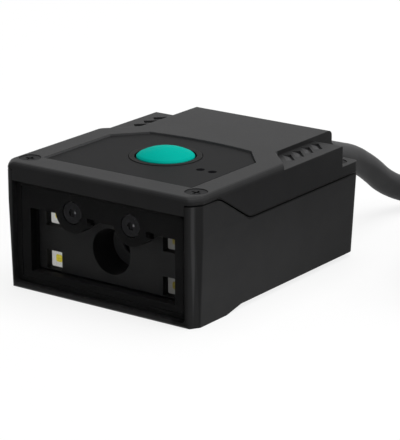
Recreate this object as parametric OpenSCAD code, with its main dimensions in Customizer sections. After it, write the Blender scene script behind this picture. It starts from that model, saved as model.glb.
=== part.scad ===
// Fixed barcode reader: a small moulded box with a clear front window, a camera engine
// with four lamps behind it, a push button on the lid and a cable out of the rear wall.
// Sizes are in millimetres. X is to the right, Y runs to the rear and Z is up. The origin
// is under the middle of the body, on the plane of the front foot.

/* [Body] */
// Width of the body at the seam
body_w = 42; // [40:0.5:50]
// Depth of the body from front to rear
body_d = 51; // [49:0.5:60]
// Height of the body from the foot to the flat top
body_h = 23; // [22:0.5:28]
// Thickness of the outer walls
wall = 2; // [1.8:0.1:2.3]
// Thickness of the lid
lid_t = 2; // [1.8:0.1:2.4]
// Thickness of the floor above the raised underside
floor_t = 1.9; // [1.5:0.1:2.4]
// How far the sides lean in between the seam and the base
side_draft = 0.6; // [0.2:0.1:1]
// How far the rear leans in between the seam and the base
rear_draft = 0.5; // [0.2:0.1:1]
// Radius of the rounded top edges
edge_r = 1; // [0.4:0.1:1.4]
// Radius of the rear upright edges
rear_r = 1.2; // [0.6:0.1:2]
// Length of the front foot
foot_len = 9.9; // [6:0.1:14]
// Length of the ramp behind the front foot
ramp_len = 4.3; // [2:0.1:6]
// Height of the rear underside above the foot
rear_raise = 0.9; // [0.4:0.1:1.4]

/* [Front corner] */
// Depth of the angled front corner along the side
corner_len = 2.2; // [1.6:0.1:3]
// How far the corner narrows the front face
corner_in = 1.8; // [1.5:0.1:2.2]
// How far the flat of the corner leans in
facet_in = 0.8; // [0.4:0.1:1]
// Length of the flat of the corner
facet_len = 1.3; // [0.8:0.1:1.5]

/* [Seam] */
// Height of the visible groove between lid and tray
seam = 0.3; // [0.2:0.05:0.4]
// Height of the lid at the front corners
lip_h = 1.5; // [1.3:0.1:2]
// Height of the lid at the rear
skirt_h = 7; // [6.5:0.1:7.5]
// Start of the seam's slope behind the front face
slope_start = 6.8; // [5:0.1:9]
// Length of the seam's slope
slope_len = 9; // [6:0.1:12]
// How far the lid's inner ribs reach below the seam
rib_drop = 1.2; // [0.8:0.1:2]
// Thickness of the lid's inner ribs
rib_t = 0.85; // [0.7:0.05:1]

/* [Lid] */
// Half width of the raised middle at the rear
plateau_hw = 15; // [14.8:0.1:15.5]
// Depth of the louvred side strips below the top
strip_drop = 0.9; // [0.5:0.1:1.1]
// Distance from the rear face to the rear end of the strips
strip_rear = 5.7; // [5.5:0.1:6]
// Distance from the rear face to the inner front corner of the strips
strip_reach = 18.7; // [18.2:0.1:19.2]
// Depth of the rear ledges below the top
ledge_drop = 4.8; // [4.4:0.1:5]
// Number of slots in each strip
slot_count = 4; // [2:1:4]
// Pitch of the slots
slot_pitch = 3; // [2.8:0.1:3.1]
// Length of a slot
slot_len = 3.8; // [3.4:0.1:4]
// Width of a slot
slot_w = 1.6; // [1.2:0.1:1.8]
// Depth of a slot at its rear wall
slot_deep = 0.6; // [0.3:0.1:0.6]
// Slant of the slots from the X axis
slot_angle = 45; // [40:1:48]
// Half width of the label panel
label_hw = 16; // [15:0.1:16.5]
// Distance from the front face to the label panel
label_front = 5.7; // [5.6:0.1:7]
// Length of the label panel along its sides
label_side = 19.1; // [17:0.1:19.5]
// Length of the label panel to its rear corners
label_corner = 24.6; // [23:0.1:25]
// Half width of the label panel at its rear corners
label_rear_hw = 11.2; // [10:0.1:12]
// Length of the label panel in the middle
label_len = 25.6; // [25:0.1:26]
// Depth of the recess for the label panel
label_recess = 0.6; // [0.4:0.05:0.7]
// Thickness of the label panel
label_t = 0.25; // [0.15:0.05:0.35]

/* [Button] */
// Distance from the front face to the button's axis
button_back = 20; // [19.6:0.1:20.5]
// Diameter of the button
button_d = 10.4; // [10:0.1:11]
// Outer diameter of the trim ring
ring_d = 13; // [12.8:0.1:13.6]
// Gap between the button and what surrounds it
button_gap = 0.35; // [0.3:0.05:0.5]
// Travel of the button
button_travel = 0.6; // [0.3:0.1:0.8]
// Height of the button's crown
button_crown = 1.2; // [0.6:0.1:1.4]
// Radius of the button's flange under the lid
flange_r = 6.7; // [6.5:0.1:7]
// Diameter of the indicator light pipes
pipe_d = 1.4; // [1.2:0.1:1.6]
// Distance between the indicator light pipes
pipe_pitch = 2.5; // [2.4:0.1:3]

/* [Window and bezel] */
// Width of the front frame beside the window
frame_rim = 2.3; // [2.2:0.1:2.6]
// Height of the lip below the window
window_lip = 1; // [0.8:0.1:1.1]
// Height of the brow above the window
brow_h = 3.2; // [3:0.1:3.5]
// Thickness of the window
window_t = 1; // [0.8:0.1:1.2]
// Thickness of the window's seal
seal_t = 0.2; // [0.1:0.05:0.3]
// Width of the window's seal
seal_w = 1; // [0.6:0.1:1.2]
// Thickness of the bezel
bezel_t = 1.6; // [1.4:0.1:1.8]
// How far the window lies behind the front face
window_sink = 0.15; // [0.05:0.05:0.3]
// Gap around the panes in their pocket
pane_gap = 0.1; // [0.05:0.05:0.2]
// Radius of the panes' corners
pane_r = 0.8; // [0.4:0.1:1.2]
// Height of the bezel's lower bar above the base
sill_z = 3.3; // [3:0.1:3.6]
// Radius of the bezel's screw lobes
lobe_r = 3.7; // [3.2:0.1:4]
// Length of the web beside each lobe
lobe_web = 6.6; // [5:0.1:7]

/* [Engine] */
// Width of the bezel's side bars beside its opening
bezel_side = 3; // [2.6:0.1:3.2]
// How far the engine reaches behind the bezel's side bars
engine_lap = 0.4; // [0.2:0.1:0.5]
// Height of the brow's step above the engine
engine_head = 1.4; // [1:0.1:1.8]
// Depth of the camera engine's frame
engine_d = 9.4; // [9.2:0.1:9.6]
// Gap between the engine and the tray
engine_gap = 0.4; // [0.3:0.05:0.5]
// Distance from the bezel's rear face to the engine's face
engine_back = 1.25; // [0.8:0.05:1.4]
// Thickness of the engine's face plate
plate_t = 3.4; // [3.2:0.1:3.8]
// Thickness of the engine's side walls
engine_wall = 1.2; // [1:0.1:1.5]
// Height of the lens axis above the engine's base
lens_up = 5.85; // [5.6:0.05:6.2]
// Diameter of the lens hole
lens_hole_d = 8.3; // [7.8:0.1:8.5]
// Depth of the lens barrel's face in the lens hole
lens_deep = 5.8; // [5.6:0.1:6.4]
// Diameter of the lens glass
lens_d = 4; // [3.6:0.1:4.6]
// Distance of the lamps' columns from the engine's sides
lamp_inset = 3.3; // [3.1:0.1:3.5]
// Distance between the lamps' rows
lamp_rise = 8; // [7.8:0.1:8.2]
// Width of a lamp's pocket
pocket_w = 3.5; // [3.3:0.1:3.9]
// Depth of a lamp's pocket
pocket_d = 1.9; // [1.7:0.1:2.2]
// Width of a lamp
lamp_w = 3.2; // [2.8:0.1:3.2]
// Thickness of a lamp
lamp_t = 0.6; // [0.4:0.1:0.8]
// Diameter of a lamp's emitter
emitter_d = 1.5; // [1.2:0.1:2]
// Distance between the engine screws
engine_screw_span = 12.7; // [12.5:0.1:13]
// Depth of the engine screws below the engine's top
engine_screw_down = 2.8; // [2.6:0.1:3.2]

/* [Boards] */
// Thickness of the circuit boards
board_t = 1; // [0.8:0.1:1.2]
// Height of the main board above the floor
board_up = 2.8; // [2.6:0.1:3.4]
// Gap between the main board and the side walls
board_side_gap = 3; // [2.5:0.1:3.5]
// Depth of the button board below the lid
button_board_drop = 9.4; // [9.2:0.1:10]
// Width of the push switch
switch_w = 6; // [5:0.1:6.5]
// Height of the push switch's body
switch_h = 2.8; // [2.4:0.1:3]
// Height of the push switch's plunger above its body
plunger_h = 0.9; // [0.6:0.1:1.2]
// Free gap left under the button when it is pressed
press_gap = 0.2; // [0.1:0.05:0.4]

/* [Fasteners and mounts] */
// Diameter of the screws' shanks
screw_d = 2; // [1.8:0.1:2.2]
// Diameter of the cover and engine screws' heads
head_d = 3.8; // [3.4:0.1:4]
// Height of the cover and engine screws' heads
head_h = 0.8; // [0.6:0.1:0.9]
// Length of the cover screws' shanks
cover_shank = 7; // [5:0.5:8]
// Clearance around fasteners and seated pieces
clear = 0.05; // [0.03:0.01:0.08]
// Distance of the cover screws from the sides
screw_side = 3; // [2.9:0.1:3.2]
// Distance of the front cover screws from the front face
screw_front = 4.3; // [4.2:0.1:4.6]
// Distance of the rear cover screws from the rear face
screw_rear = 3.2; // [3:0.1:3.4]
// Radius of the screw bosses
boss_r = 2.3; // [2.1:0.1:2.4]
// Distance between the mounting inserts
mount_span = 26; // [22:0.5:28]
// Distance from the front face to the mounting inserts
mount_back = 29; // [27:0.5:34]
// Diameter of the inserts' threaded bore
mount_d = 2.5; // [2:0.1:3]
// Outer diameter of the inserts
insert_d = 4.4; // [4:0.1:4.8]
// Length of the inserts
insert_len = 3.6; // [3:0.1:3.8]

/* [Cable] */
// Diameter of the cable
cable_d = 5; // [4.5:0.1:5]
// Distance of the cable from the middle of the body
cable_x = 10; // [8:0.1:10.4]
// Depth of the cable's axis below the top
cable_drop = 6.6; // [6.2:0.1:7]
// Diameter of the gland where it passes the wall
gland_d = 7; // [6.8:0.1:7.4]
// Diameter of the gland's flanges
gland_flange_d = 8.4; // [8:0.1:9]
// Length of the gland behind the rear face
gland_len = 5; // [4:0.1:6]
// Mean diameter of the cable's coil
coil_d = 50; // [50:1:60]
// Turns beside each other and on each other in the coil
coil_turns = 3; // [2:1:3]
// Width of the coil's tie
tie_w = 5; // [3:0.5:8]
// Thickness of the coil's tie
tie_t = 0.6; // [0.4:0.1:0.8]
// Length, width and height of the plug's moulded body
plug_body_size = [20.5, 15.5, 8];
// Length, width and height of the plug's metal shell
plug_shell_size = [12.5, 12, 4.5];
// Thickness of the plug's metal shell
plug_shell_t = 0.4; // [0.3:0.05:0.5]

/* [Hidden] */
$fn = 48;

// Overshoot of cutting shapes and thickness of the slices that a hull spans
cut = 1;
slice = 0.01;

// Outer planes and main levels
half_w = body_w / 2;
front_y = -body_d / 2;
rear_y = body_d / 2;
floor_z = rear_raise + floor_t;
lid_z = body_h - lid_t;
lip_z = body_h - lip_h;
skirt_z = body_h - skirt_h;
slope_y = front_y + slope_start;
slope_end_y = slope_y + slope_len;
seam_round = 1.2;

// Front pocket, from the window back to the shoulder that carries the bezel
window_top = body_h - brow_h;
window_y = front_y + window_sink;
seal_y = window_y + window_t;
bezel_y = seal_y + seal_t;
shoulder_y = bezel_y + bezel_t + clear;
shoulder_t = 2.4;
cavity_y = shoulder_y + shoulder_t;
pocket_hw = half_w - frame_rim;
pane_w = 2 * (pocket_hw - pane_gap);
pane_h = window_top - window_lip - 2 * pane_gap;
pane_z = (window_top + window_lip) / 2;

// Camera engine
engine_z = floor_z + engine_gap;
engine_top = window_top - engine_head;
aperture_w = 2 * (pocket_hw - bezel_side);
aperture_drop = 0.65;
engine_w = aperture_w + 2 * engine_lap;
lamp_span = engine_w - 2 * lamp_inset;
engine_y = bezel_y + bezel_t + engine_back;
engine_rear = engine_y + engine_d;
engine_board_rear = engine_rear + board_t;
lens_z = engine_z + lens_up;
engine_screw_z = engine_top - engine_screw_down;
lamp_y = engine_y + pocket_d - lamp_t;
emitter_t = 0.15;
barrel_y = engine_y + lens_deep;
barrel_front_t = 1.2;
barrel_room_r = 3.5;
lens_t = 0.7;
lens_bulge = 0.4;
sensor_size = [5, 0.8, 4];

// Screw places
cover_screw_x = half_w - screw_side;
front_screw_y = front_y + screw_front;
rear_screw_y = rear_y - screw_rear;
ledge_z = body_h - ledge_drop;
head_sink = 0.1;
front_boss_z = lid_z - 0.6;
rear_boss_z = skirt_z + seam;

// Lid layout
strip_z = body_h - strip_drop;
strip_rear_y = rear_y - strip_rear;
strip_front_y = rear_y - strip_reach;
slot_x = (plateau_hw + half_w - wall) / 2 + 0.1;
slot_y = strip_front_y + 1.1;
label_y = front_y + label_front;
label_z = body_h - label_recess;
button_y = front_y + button_back;
hole_r = button_d / 2 + button_gap;
ring_seat_z = label_z - 0.5;
ring_top = label_z + label_t + 0.1;
button_edge_z = ring_top + 0.35;
flange_gap = 0.2;
flange_t = 1.1;
stem_r = 1.6;
pipe_y = button_y - 3.5;
pipe_x = 11.35;
pipe_r = pipe_d / 2;
sleeve_r = 1.3;
sleeve_len = 6;

// Boards
board_z = floor_z + board_up;
board_top = board_z + board_t;
board_hw = half_w - wall - board_side_gap;
board_front = engine_board_rear + 2.4;
board_rear = strip_rear_y - 1.5;
post_r = 2.2;
post_x = board_hw - 2.5;
post_ys = [board_front + 2.6, board_rear - 2.6];
button_board_z = lid_z - button_board_drop;
button_board_top = button_board_z + board_t;
button_board_front = engine_board_rear + 0.5;
button_board_reach = 7;
button_board_rear = button_y + button_board_reach;
post_left = 9.5;
post_back = 4;
lid_post_r = 2;
button_board_left = -post_left - lid_post_r - 0.2;
button_board_right = pipe_x + pipe_pitch / 2 + lid_post_r;
lid_posts = [[-post_left, button_y + post_back], [pipe_x, button_y + post_back]];
cap_flange_top = lid_z - flange_gap;
cap_flange_base = cap_flange_top - flange_t;
plunger_top = button_board_top + switch_h + plunger_h;
stem_base = plunger_top + press_gap + button_travel;
plunger_r = 1.6;
small_head_d = 3.4;
small_head_h = 1;
small_shank = 2.2;

// Cable gland and header
cable_z = body_h - cable_drop;
gland_bore_r = cable_d / 2 + clear;
inner_flange_t = 1.2;
gland_ribs = 3;
wire_d = 2.6;

// Pieces on the main board, set out from its rear screws
part_gap = 0.55;
row_back = 4.2;
beeper_d = 8.5;
beeper_h = 4;
beeper_hole_d = 1.6;
header_size = [7, 5.6, 4.6];
decoder_size = [8, 8, 1.2];
memory_size = [5, 6, 1];
memory_gap = 2;
capacitor_size = [3.2, 1.6, 1.6];
capacitor_pitch = 2.2;
header_y = board_rear - row_back;
screw_edge = post_x - small_head_d / 2 - part_gap;
header_x = screw_edge - header_size[0] / 2;
header_top = board_top + header_size[2];
beeper_x = beeper_d / 2 - screw_edge;
decoder_y = header_y - beeper_d / 2 - part_gap - decoder_size[1] / 2;

// Ribbon from the engine board to the main board
ribbon_w = 9;
ribbon_t = 0.2;
ribbon_bend = 1;
ribbon_run = 3;
ribbon_rise = 2.6;
socket_w = 11;
socket_t = 0.6;
socket_low = 1.6;
socket_h = 2.2;
socket_flat_h = 1.2;

// Cable route from the gland down to the floor and on to the coil, chosen by hand
lead_route = [
    [10, 22.5, 16.4], [10, 25.5, 16.4], [10, 30.5, 16.4], [10, 32, 16.2], [10, 34, 15.6], [10, 36.5, 14.8],
    [10, 39, 14], [10.15, 41.2, 13.1], [10.35, 43.1, 12], [10.6, 45.2, 10.7], [10.9, 47.4, 9.1],
    [11.2, 49.7, 7.3], [12, 52.5, 5.5], [13.5, 55.8, 4], [15.3, 58.8, 2.9], [17.5, 61.5, 2.5],
    [20.2, 63.7, 2.5], [23.2, 65.5, 2.5], [26.5, 66.7, 2.5], [30.9, 67.3, 2.5], [37, 67.6, 2.5],
    [43.5, 67.8, 2.5], [50, 68, 2.5], [57, 68.3, 2.5], [64, 68.5, 2.5]
];
coil_centre = [65, 38.5, 0];
coil_width = coil_turns * cable_d;
coil_in = (coil_d - coil_width) / 2;
coil_out = (coil_d + coil_width) / 2;
tie_angle = -68;

// Plug lead from the coil's top layer up to the plug, as offsets from the coil's centre
plug_route = [
    [2, -19.9, 12.5], [-5.8, -19.1, 13.3], [-12.7, -15.5, 15], [-17.6, -9.4, 16.7], [-19.9, -2, 17.5],
    [-20.5, 3.6, 17.7], [-20.3, 10.8, 17.9], [-17.8, 18.4, 18.2], [-12.3, 25.3, 18.5], [-6.1, 28.9, 18.7],
    [0, 30, 18.8], [7.6, 28.5, 18.9], [14.1, 24.1, 19], [18.5, 17.6, 19], [20, 10, 19], [20, 8, 19]
];
plug_start = coil_centre + plug_route[len(plug_route) - 1];
plug_neck = 5;
plug_turn = -90;

// Latch windows in the plug's shell
latch_w = 2.2;
latch_pitch = 5.4;
latch_back = 5.2;

// Inner wires from the gland to the header
wire_route = [
    [cable_x, rear_y - wall - inner_flange_t - clear, cable_z],
    [cable_x, rear_y - wall - inner_flange_t - 1.5, cable_z],
    [(cable_x * 2 + header_x) / 3, header_y + wire_d, (cable_z * 4 + header_top) / 5],
    [(cable_x + header_x * 3) / 4, header_y + wire_d / 4, (cable_z + header_top) / 2],
    [header_x, header_y, (cable_z + header_top * 3) / 4],
    [header_x, header_y, header_top]
];

// Points of a quadratic curve from a to c, drawn towards b
function curve(a, b, c, steps = 4) =
    [for (i = [0 : steps]) let (t = i / steps) (1 - t) * (1 - t) * a + 2 * t * (1 - t) * b + t * t * c];

// Points of an arc
function arc(centre, r, from, to, steps = 4) =
    [for (i = [0 : steps]) let (a = from + (to - from) * i / steps) centre + r * [cos(a), sin(a)]];

// The same points on the other side of the Y axis, in reverse order
function mirrored(pts) = [for (i = [len(pts) - 1 : -1 : 0]) [-pts[i][0], pts[i][1]]];

// Right half of the body's plan for a given half width, front and rear
function half_plan(hw, fy, ry) =
    let (lean = facet_in / facet_len * (corner_len - facet_len))
    concat(
        curve([hw - corner_in, fy], [hw - facet_in - lean, fy], [hw - facet_in, fy + corner_len - facet_len]),
        [[hw, fy + corner_len]],
        arc([hw - rear_r, ry - rear_r], rear_r, 0, 90)
    );

// Direction of a route at each of its points
function heading(route, i) =
    let (a = route[max(i - 1, 0)], b = route[min(i + 1, len(route) - 1)]) (b - a) / norm(b - a);

// Slice of the body's plan at height z, drawn in by the given amounts
module plan_slice(z, side = 0, front = 0, rear = 0) {
    right = half_plan(half_w - side, front_y + front, rear_y - rear);
    translate([0, 0, z])
        linear_extrude(slice)
            polygon(concat(right, mirrored(right)));
}

// Solid from a profile drawn in Y and Z, spread over a width in X
module across(width) {
    rotate([90, 0, 90])
        linear_extrude(width, center = true)
            children();
}

// Solid from a profile drawn in X and Z, between two planes in Y
module between(y0, y1) {
    translate([0, y1, 0])
        rotate([90, 0, 0])
            linear_extrude(y1 - y0)
                children();
}

// Rectangle with round corners, about the origin
module round_rect(w, h, r) {
    square([w - 2 * r, h], center = true);
    square([w, h - 2 * r], center = true);
    for (sx = [-1, 1], sy = [-1, 1])
        translate([sx * (w / 2 - r), sy * (h / 2 - r)])
            circle(r);
}

// Box from its low and high corners
module box(low, high) {
    translate(low)
        cube(high - low);
}

// Children on both sides of the middle plane
module both_sides() {
    for (s = [0, 1])
        mirror([s, 0, 0])
            children();
}

// Everything below the seam line, moved up by lift
module below_seam(lift = 0) {
    top = lip_z + lift;
    low = skirt_z + lift;
    run = [slope_len, low - top] / norm([slope_len, low - top]) * seam_round;
    flat = [seam_round, 0];
    upper = [slope_y, top];
    lower = [slope_end_y, low];
    across(body_w + 2 * cut)
        polygon(concat(
            [[front_y - cut, -cut], [front_y - cut, top]],
            curve(upper - flat, upper, upper + run),
            curve(lower - run, lower, lower + flat),
            [[rear_y + cut, low], [rear_y + cut, -cut]]
        ));
}

// Tube along a route that never runs along aside, with a ring of points at each of its points
module tube(route, d, aside = [1, 0, 0], sides = 10) {
    rings = len(route);
    points = [
        for (i = [0 : rings - 1])
            let (t = heading(route, i), n = cross(t, aside), u = n / norm(n), v = cross(t, u))
            for (k = [0 : sides - 1])
                route[i] + d / 2 * (cos(360 * k / sides) * u + sin(360 * k / sides) * v)
    ];
    walls = [
        for (i = [0 : rings - 2], k = [0 : sides - 1])
            let (n = (k + 1) % sides)
            [i * sides + k, (i + 1) * sides + k, (i + 1) * sides + n, i * sides + n]
    ];
    first = [for (k = [0 : sides - 1]) k];
    last = [for (k = [sides - 1 : -1 : 0]) (rings - 1) * sides + k];
    polyhedron(points, concat(walls, [first, last]));
}

// Outer form of the tray, with its foot and drafted walls
module tray_form() {
    difference() {
        hull() {
            plan_slice(0, side_draft, 0, rear_draft);
            plan_slice(skirt_z);
            plan_slice(lip_z);
        }
        across(body_w + 2 * cut)
            polygon([
                [front_y + foot_len, -cut], [front_y + foot_len, 0],
                [front_y + foot_len + ramp_len, rear_raise], [rear_y + cut, rear_raise], [rear_y + cut, -cut]
            ]);
        across(body_w + 2 * cut)
            polygon([
                [front_y - slice, -slice], [front_y - slice, window_lip / 2], [front_y + window_lip / 2, -slice]
            ]);
    }
}

// Outer form of the lid, with round top edges
module lid_form() {
    hull() {
        plan_slice(skirt_z);
        for (a = [0 : 22.5 : 90]) {
            draw_in = edge_r * (1 - cos(a));
            plan_slice(body_h - edge_r + edge_r * sin(a) - slice, draw_in, draw_in, draw_in);
        }
    }
}

// Hole for the gland through the rear wall
module gland_hole() {
    translate([cable_x, rear_y + cut, cable_z])
        rotate([90, 0, 0])
            cylinder(d = gland_d + 2 * clear, h = wall + 2 * cut);
}

// Room for the gland's inner flange beside the lid's rear walls
module gland_seat() {
    translate([cable_x, rear_y - wall, cable_z])
        rotate([90, 0, 0])
            cylinder(d = gland_flange_d + 2 * clear, h = inner_flange_t + clear);
}

// Holes for the shanks of the cover screws
module cover_shank_holes() {
    depth = cover_shank + cut;
    both_sides() {
        translate([cover_screw_x, front_screw_y, body_h - head_h - head_sink - depth])
            cylinder(d = screw_d + 2 * clear, h = depth + cut);
        translate([cover_screw_x, rear_screw_y, ledge_z - head_h - head_sink - depth])
            cylinder(d = screw_d + 2 * clear, h = depth + cut);
    }
}

// Tray: floor, walls, front frame with its shoulder, bosses and posts
module bottom_housing() {
    color("#2d2d2e")
        difference() {
            union() {
                difference() {
                    intersection() {
                        tray_form();
                        below_seam();
                    }
                    box([wall - half_w, cavity_y, floor_z], [half_w - wall, rear_y - wall, body_h]);
                }
                intersection() {
                    tray_form();
                    tray_bosses();
                }
            }
            front_pocket();
            cover_shank_holes();
            gland_hole();
            insert_holes();
            board_screw_holes();
        }
}

// Bosses for the cover screws and inserts, and posts for the main board
module tray_bosses() {
    both_sides() {
        translate([cover_screw_x, front_screw_y, 0])
            cylinder(r = boss_r, h = front_boss_z);
        translate([cover_screw_x, rear_screw_y, 0])
            cylinder(r = boss_r, h = rear_boss_z);
        translate([mount_span / 2, front_y + mount_back, 0])
            cylinder(d = insert_d + 2.6, h = rear_raise + insert_len + 0.6);
        for (y = post_ys)
            translate([post_x, y, 0])
                cylinder(r = post_r, h = board_z);
    }
}

// Room for the window and bezel, and the opening behind them for the engine
module front_pocket() {
    between(front_y - cut, shoulder_y)
        translate([0, pane_z])
            round_rect(2 * pocket_hw, window_top - window_lip, pane_r);
    box([-pocket_hw, front_y - cut, pane_z], [pocket_hw, shoulder_y, body_h]);
    box(
        [-engine_w / 2 - engine_gap, shoulder_y - cut, floor_z],
        [engine_w / 2 + engine_gap, cavity_y + cut, engine_top + engine_gap]
    );
    box([wall - half_w, shoulder_y - clear, front_boss_z], [half_w - wall, cavity_y + cut, body_h]);
}

// Blind holes for the mounting inserts, open at the underside
module insert_holes() {
    both_sides()
        translate([mount_span / 2, front_y + mount_back, rear_raise - cut])
            cylinder(d = insert_d + 2 * clear, h = insert_len + cut);
}

// Blind holes for the main board's screws
module board_screw_holes() {
    both_sides()
        for (y = post_ys)
            translate([post_x, y, board_z - small_shank + board_t - clear])
                cylinder(d = screw_d + 2 * clear, h = small_shank + cut);
}

// Lid: shell with brow, strips, ledges, label recess, posts and ribs
module top_cover() {
    color("#4c4c4d")
        difference() {
            union() {
                difference() {
                    lid_form();
                    below_seam(seam);
                    lid_cavity();
                }
                intersection() {
                    lid_form();
                    box(
                        [pane_gap - pocket_hw, front_y - cut, window_top],
                        [pocket_hw - pane_gap, shoulder_y - clear, body_h]
                    );
                }
                lid_inner();
            }
            lid_strips();
            label_recess_cut();
            button_hole();
            cover_shank_holes();
            cover_head_holes();
            gland_hole();
            gland_seat();
            pipe_holes();
            lid_post_holes();
        }
}

// Hollow of the lid, narrower between the rear ledges
module lid_cavity() {
    box([wall - half_w, shoulder_y - clear, 0], [half_w - wall, strip_rear_y - wall, lid_z]);
    box([wall - plateau_hw, strip_rear_y - 2 * wall, 0], [plateau_hw - wall, rear_y - wall, lid_z]);
}

// Screw pads, board posts, light pipe sleeves and side ribs under the lid
module lid_inner() {
    both_sides() {
        translate([cover_screw_x, front_screw_y, front_boss_z])
            intersection() {
                cylinder(r = boss_r, h = lid_t);
                box([-boss_r, shoulder_y - front_screw_y, 0], [half_w - wall - cover_screw_x, boss_r, lid_t]);
            }
        difference() {
            box(
                [half_w - wall - pane_gap - rib_t, slope_y + boss_r, 0],
                [half_w - wall - pane_gap, strip_front_y - wall, lid_z + slice]
            );
            below_seam(-rib_drop);
        }
    }
    for (p = lid_posts)
        translate([p[0], p[1], button_board_top])
            cylinder(r = lid_post_r, h = lid_z - button_board_top + slice);
    for (s = [-1, 1])
        translate([pipe_x + s * pipe_pitch / 2, pipe_y, lid_z - sleeve_len])
            cylinder(r = sleeve_r, h = sleeve_len + slice);
}

// Louvred strips along the rear sides and the ledges behind them
module lid_strips() {
    both_sides() {
        translate([0, 0, strip_z])
            linear_extrude(body_h)
                polygon([
                    [plateau_hw, strip_front_y], [half_w + cut, strip_front_y - (half_w + cut - plateau_hw)],
                    [half_w + cut, rear_y + cut], [plateau_hw, rear_y + cut]
                ]);
        box([plateau_hw, strip_rear_y, ledge_z], [half_w + cut, rear_y + cut, body_h + cut]);
        for (i = [0 : slot_count - 1])
            translate([slot_x, slot_y + i * slot_pitch, strip_z])
                rotate([0, 0, -slot_angle])
                    slot_ramp();
    }
}

// One slot of a strip: a ramp down to an upright rear wall
module slot_ramp() {
    rotate([90, 0, 90])
        linear_extrude(slot_len, center = true)
            polygon([[-slot_w / 2, 0], [-slot_w / 2, cut], [slot_w / 2, cut], [slot_w / 2, -slot_deep]]);
}

// Outline of the label panel, grown by a clearance
module label_outline(grow = 0) {
    hw = label_hw + grow;
    rear_hw = label_rear_hw + grow / 2;
    corner_y = label_y + label_corner + grow;
    bow = 2 * (label_len - label_corner);
    polygon(concat(
        [[-hw, label_y - grow], [hw, label_y - grow], [hw, label_y + label_side]],
        curve([rear_hw, corner_y], [0, corner_y + bow], [-rear_hw, corner_y], 8),
        [[-hw, label_y + label_side]]
    ));
}

// Recess of the label panel
module label_recess_cut() {
    translate([0, 0, label_z])
        linear_extrude(label_recess + cut)
            label_outline(2 * clear);
}

// Hole of the button, with the seat of its trim ring
module button_hole() {
    translate([0, button_y, lid_z - cut])
        cylinder(r = hole_r, h = lid_t + 2 * cut);
    translate([0, button_y, ring_seat_z])
        cylinder(d = ring_d + 2 * clear, h = lid_t);
}

// Counterbores of the cover screws
module cover_head_holes() {
    both_sides() {
        translate([cover_screw_x, front_screw_y, body_h - head_h - head_sink])
            cylinder(d = head_d + 4 * clear, h = head_h + cut);
        translate([cover_screw_x, rear_screw_y, ledge_z - head_h - head_sink])
            cylinder(d = head_d + 4 * clear, h = head_h + cut);
    }
}

// Bores of the light pipes
module pipe_holes() {
    for (s = [-1, 1])
        translate([pipe_x + s * pipe_pitch / 2, pipe_y, lid_z - sleeve_len - cut])
            cylinder(r = pipe_r + clear, h = body_h);
}

// Blind holes for the button board's screws
module lid_post_holes() {
    for (p = lid_posts)
        translate([p[0], p[1], button_board_top - cut])
            cylinder(d = screw_d + 2 * clear, h = small_shank + cut);
}

// Label panel with openings for the button's ring and the light pipes
module label_panel() {
    color("#383839")
        translate([0, 0, label_z])
            linear_extrude(label_t)
                difference() {
                    label_outline();
                    translate([0, button_y])
                        circle(d = ring_d + 4 * clear);
                    for (s = [-1, 1])
                        translate([pipe_x + s * pipe_pitch / 2, pipe_y])
                            circle(r = pipe_r + clear);
                }
}

// Push button: crowned cap with a retaining flange and a stem
module button_cap() {
    r = button_d / 2;
    soft = 0.35;
    hollow_r = r - 1.2;
    hollow_top = cap_flange_top + 0.6;
    crown = curve(
        [r - soft, button_edge_z], [r / 2, button_edge_z + button_crown], [0, button_edge_z + button_crown], 6
    );
    color("#00b2a0")
        translate([0, button_y, 0])
            rotate_extrude()
                polygon(concat(
                    [[0, stem_base], [stem_r, stem_base], [stem_r, hollow_top], [hollow_r, hollow_top]],
                    [[hollow_r, cap_flange_base], [flange_r, cap_flange_base], [flange_r, cap_flange_top]],
                    [[r, cap_flange_top], [r, button_edge_z - soft]],
                    crown
                ));
}

// Trim ring around the button
module button_ring() {
    color("#1f1f20")
        translate([0, button_y, ring_seat_z])
            difference() {
                cylinder(d = ring_d, h = ring_top - ring_seat_z);
                translate([0, 0, -cut])
                    cylinder(r = hole_r, h = lid_t + 2 * cut);
            }
}

// Light pipes of the two indicators
module indicator_pipes() {
    base = button_board_top + 0.7;
    color("#141416")
        for (s = [-1, 1])
            translate([pipe_x + s * pipe_pitch / 2, pipe_y, base])
                cylinder(r = pipe_r, h = label_z + label_t - clear - base);
}

// Screw along Z with its head's underside at the origin and a cross recess
module cover_screw() {
    difference() {
        union() {
            cylinder(d = head_d, h = head_h);
            translate([0, 0, -cover_shank])
                cylinder(d = screw_d, h = cover_shank + slice);
        }
        for (a = [0, 90])
            rotate([0, 0, a])
                translate([-head_d / 4, -0.25, head_h / 2])
                    cube([head_d / 2, 0.5, head_h]);
    }
}

// The four screws that hold the lid
module cover_screws() {
    color("#3a3a3c")
        both_sides() {
            translate([cover_screw_x, front_screw_y, body_h - head_h - head_sink])
                cover_screw();
            translate([cover_screw_x, rear_screw_y, ledge_z - head_h - head_sink])
                cover_screw();
        }
}

// Clear window in the front frame
module front_window() {
    color([0.75, 0.8, 0.82, 0.3])
        between(window_y, seal_y)
            translate([0, pane_z])
                round_rect(pane_w, pane_h, pane_r - pane_gap);
}

// Seal between window and bezel
module window_seal() {
    color("#101010")
        between(seal_y, bezel_y)
            translate([0, pane_z])
                difference() {
                    round_rect(pane_w, pane_h, pane_r - pane_gap);
                    square([pane_w - 2 * seal_w, pane_h - 2 * seal_w], center = true);
                }
}

// Lobe of the bezel around an engine screw, with the web at its right
module bezel_lobe() {
    foot_angle = -76;
    circle(lobe_r);
    polygon([[0, 0], lobe_r * [cos(foot_angle), sin(foot_angle)], [lobe_web, -clear * 8], [lobe_web, 0]]);
}

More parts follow.
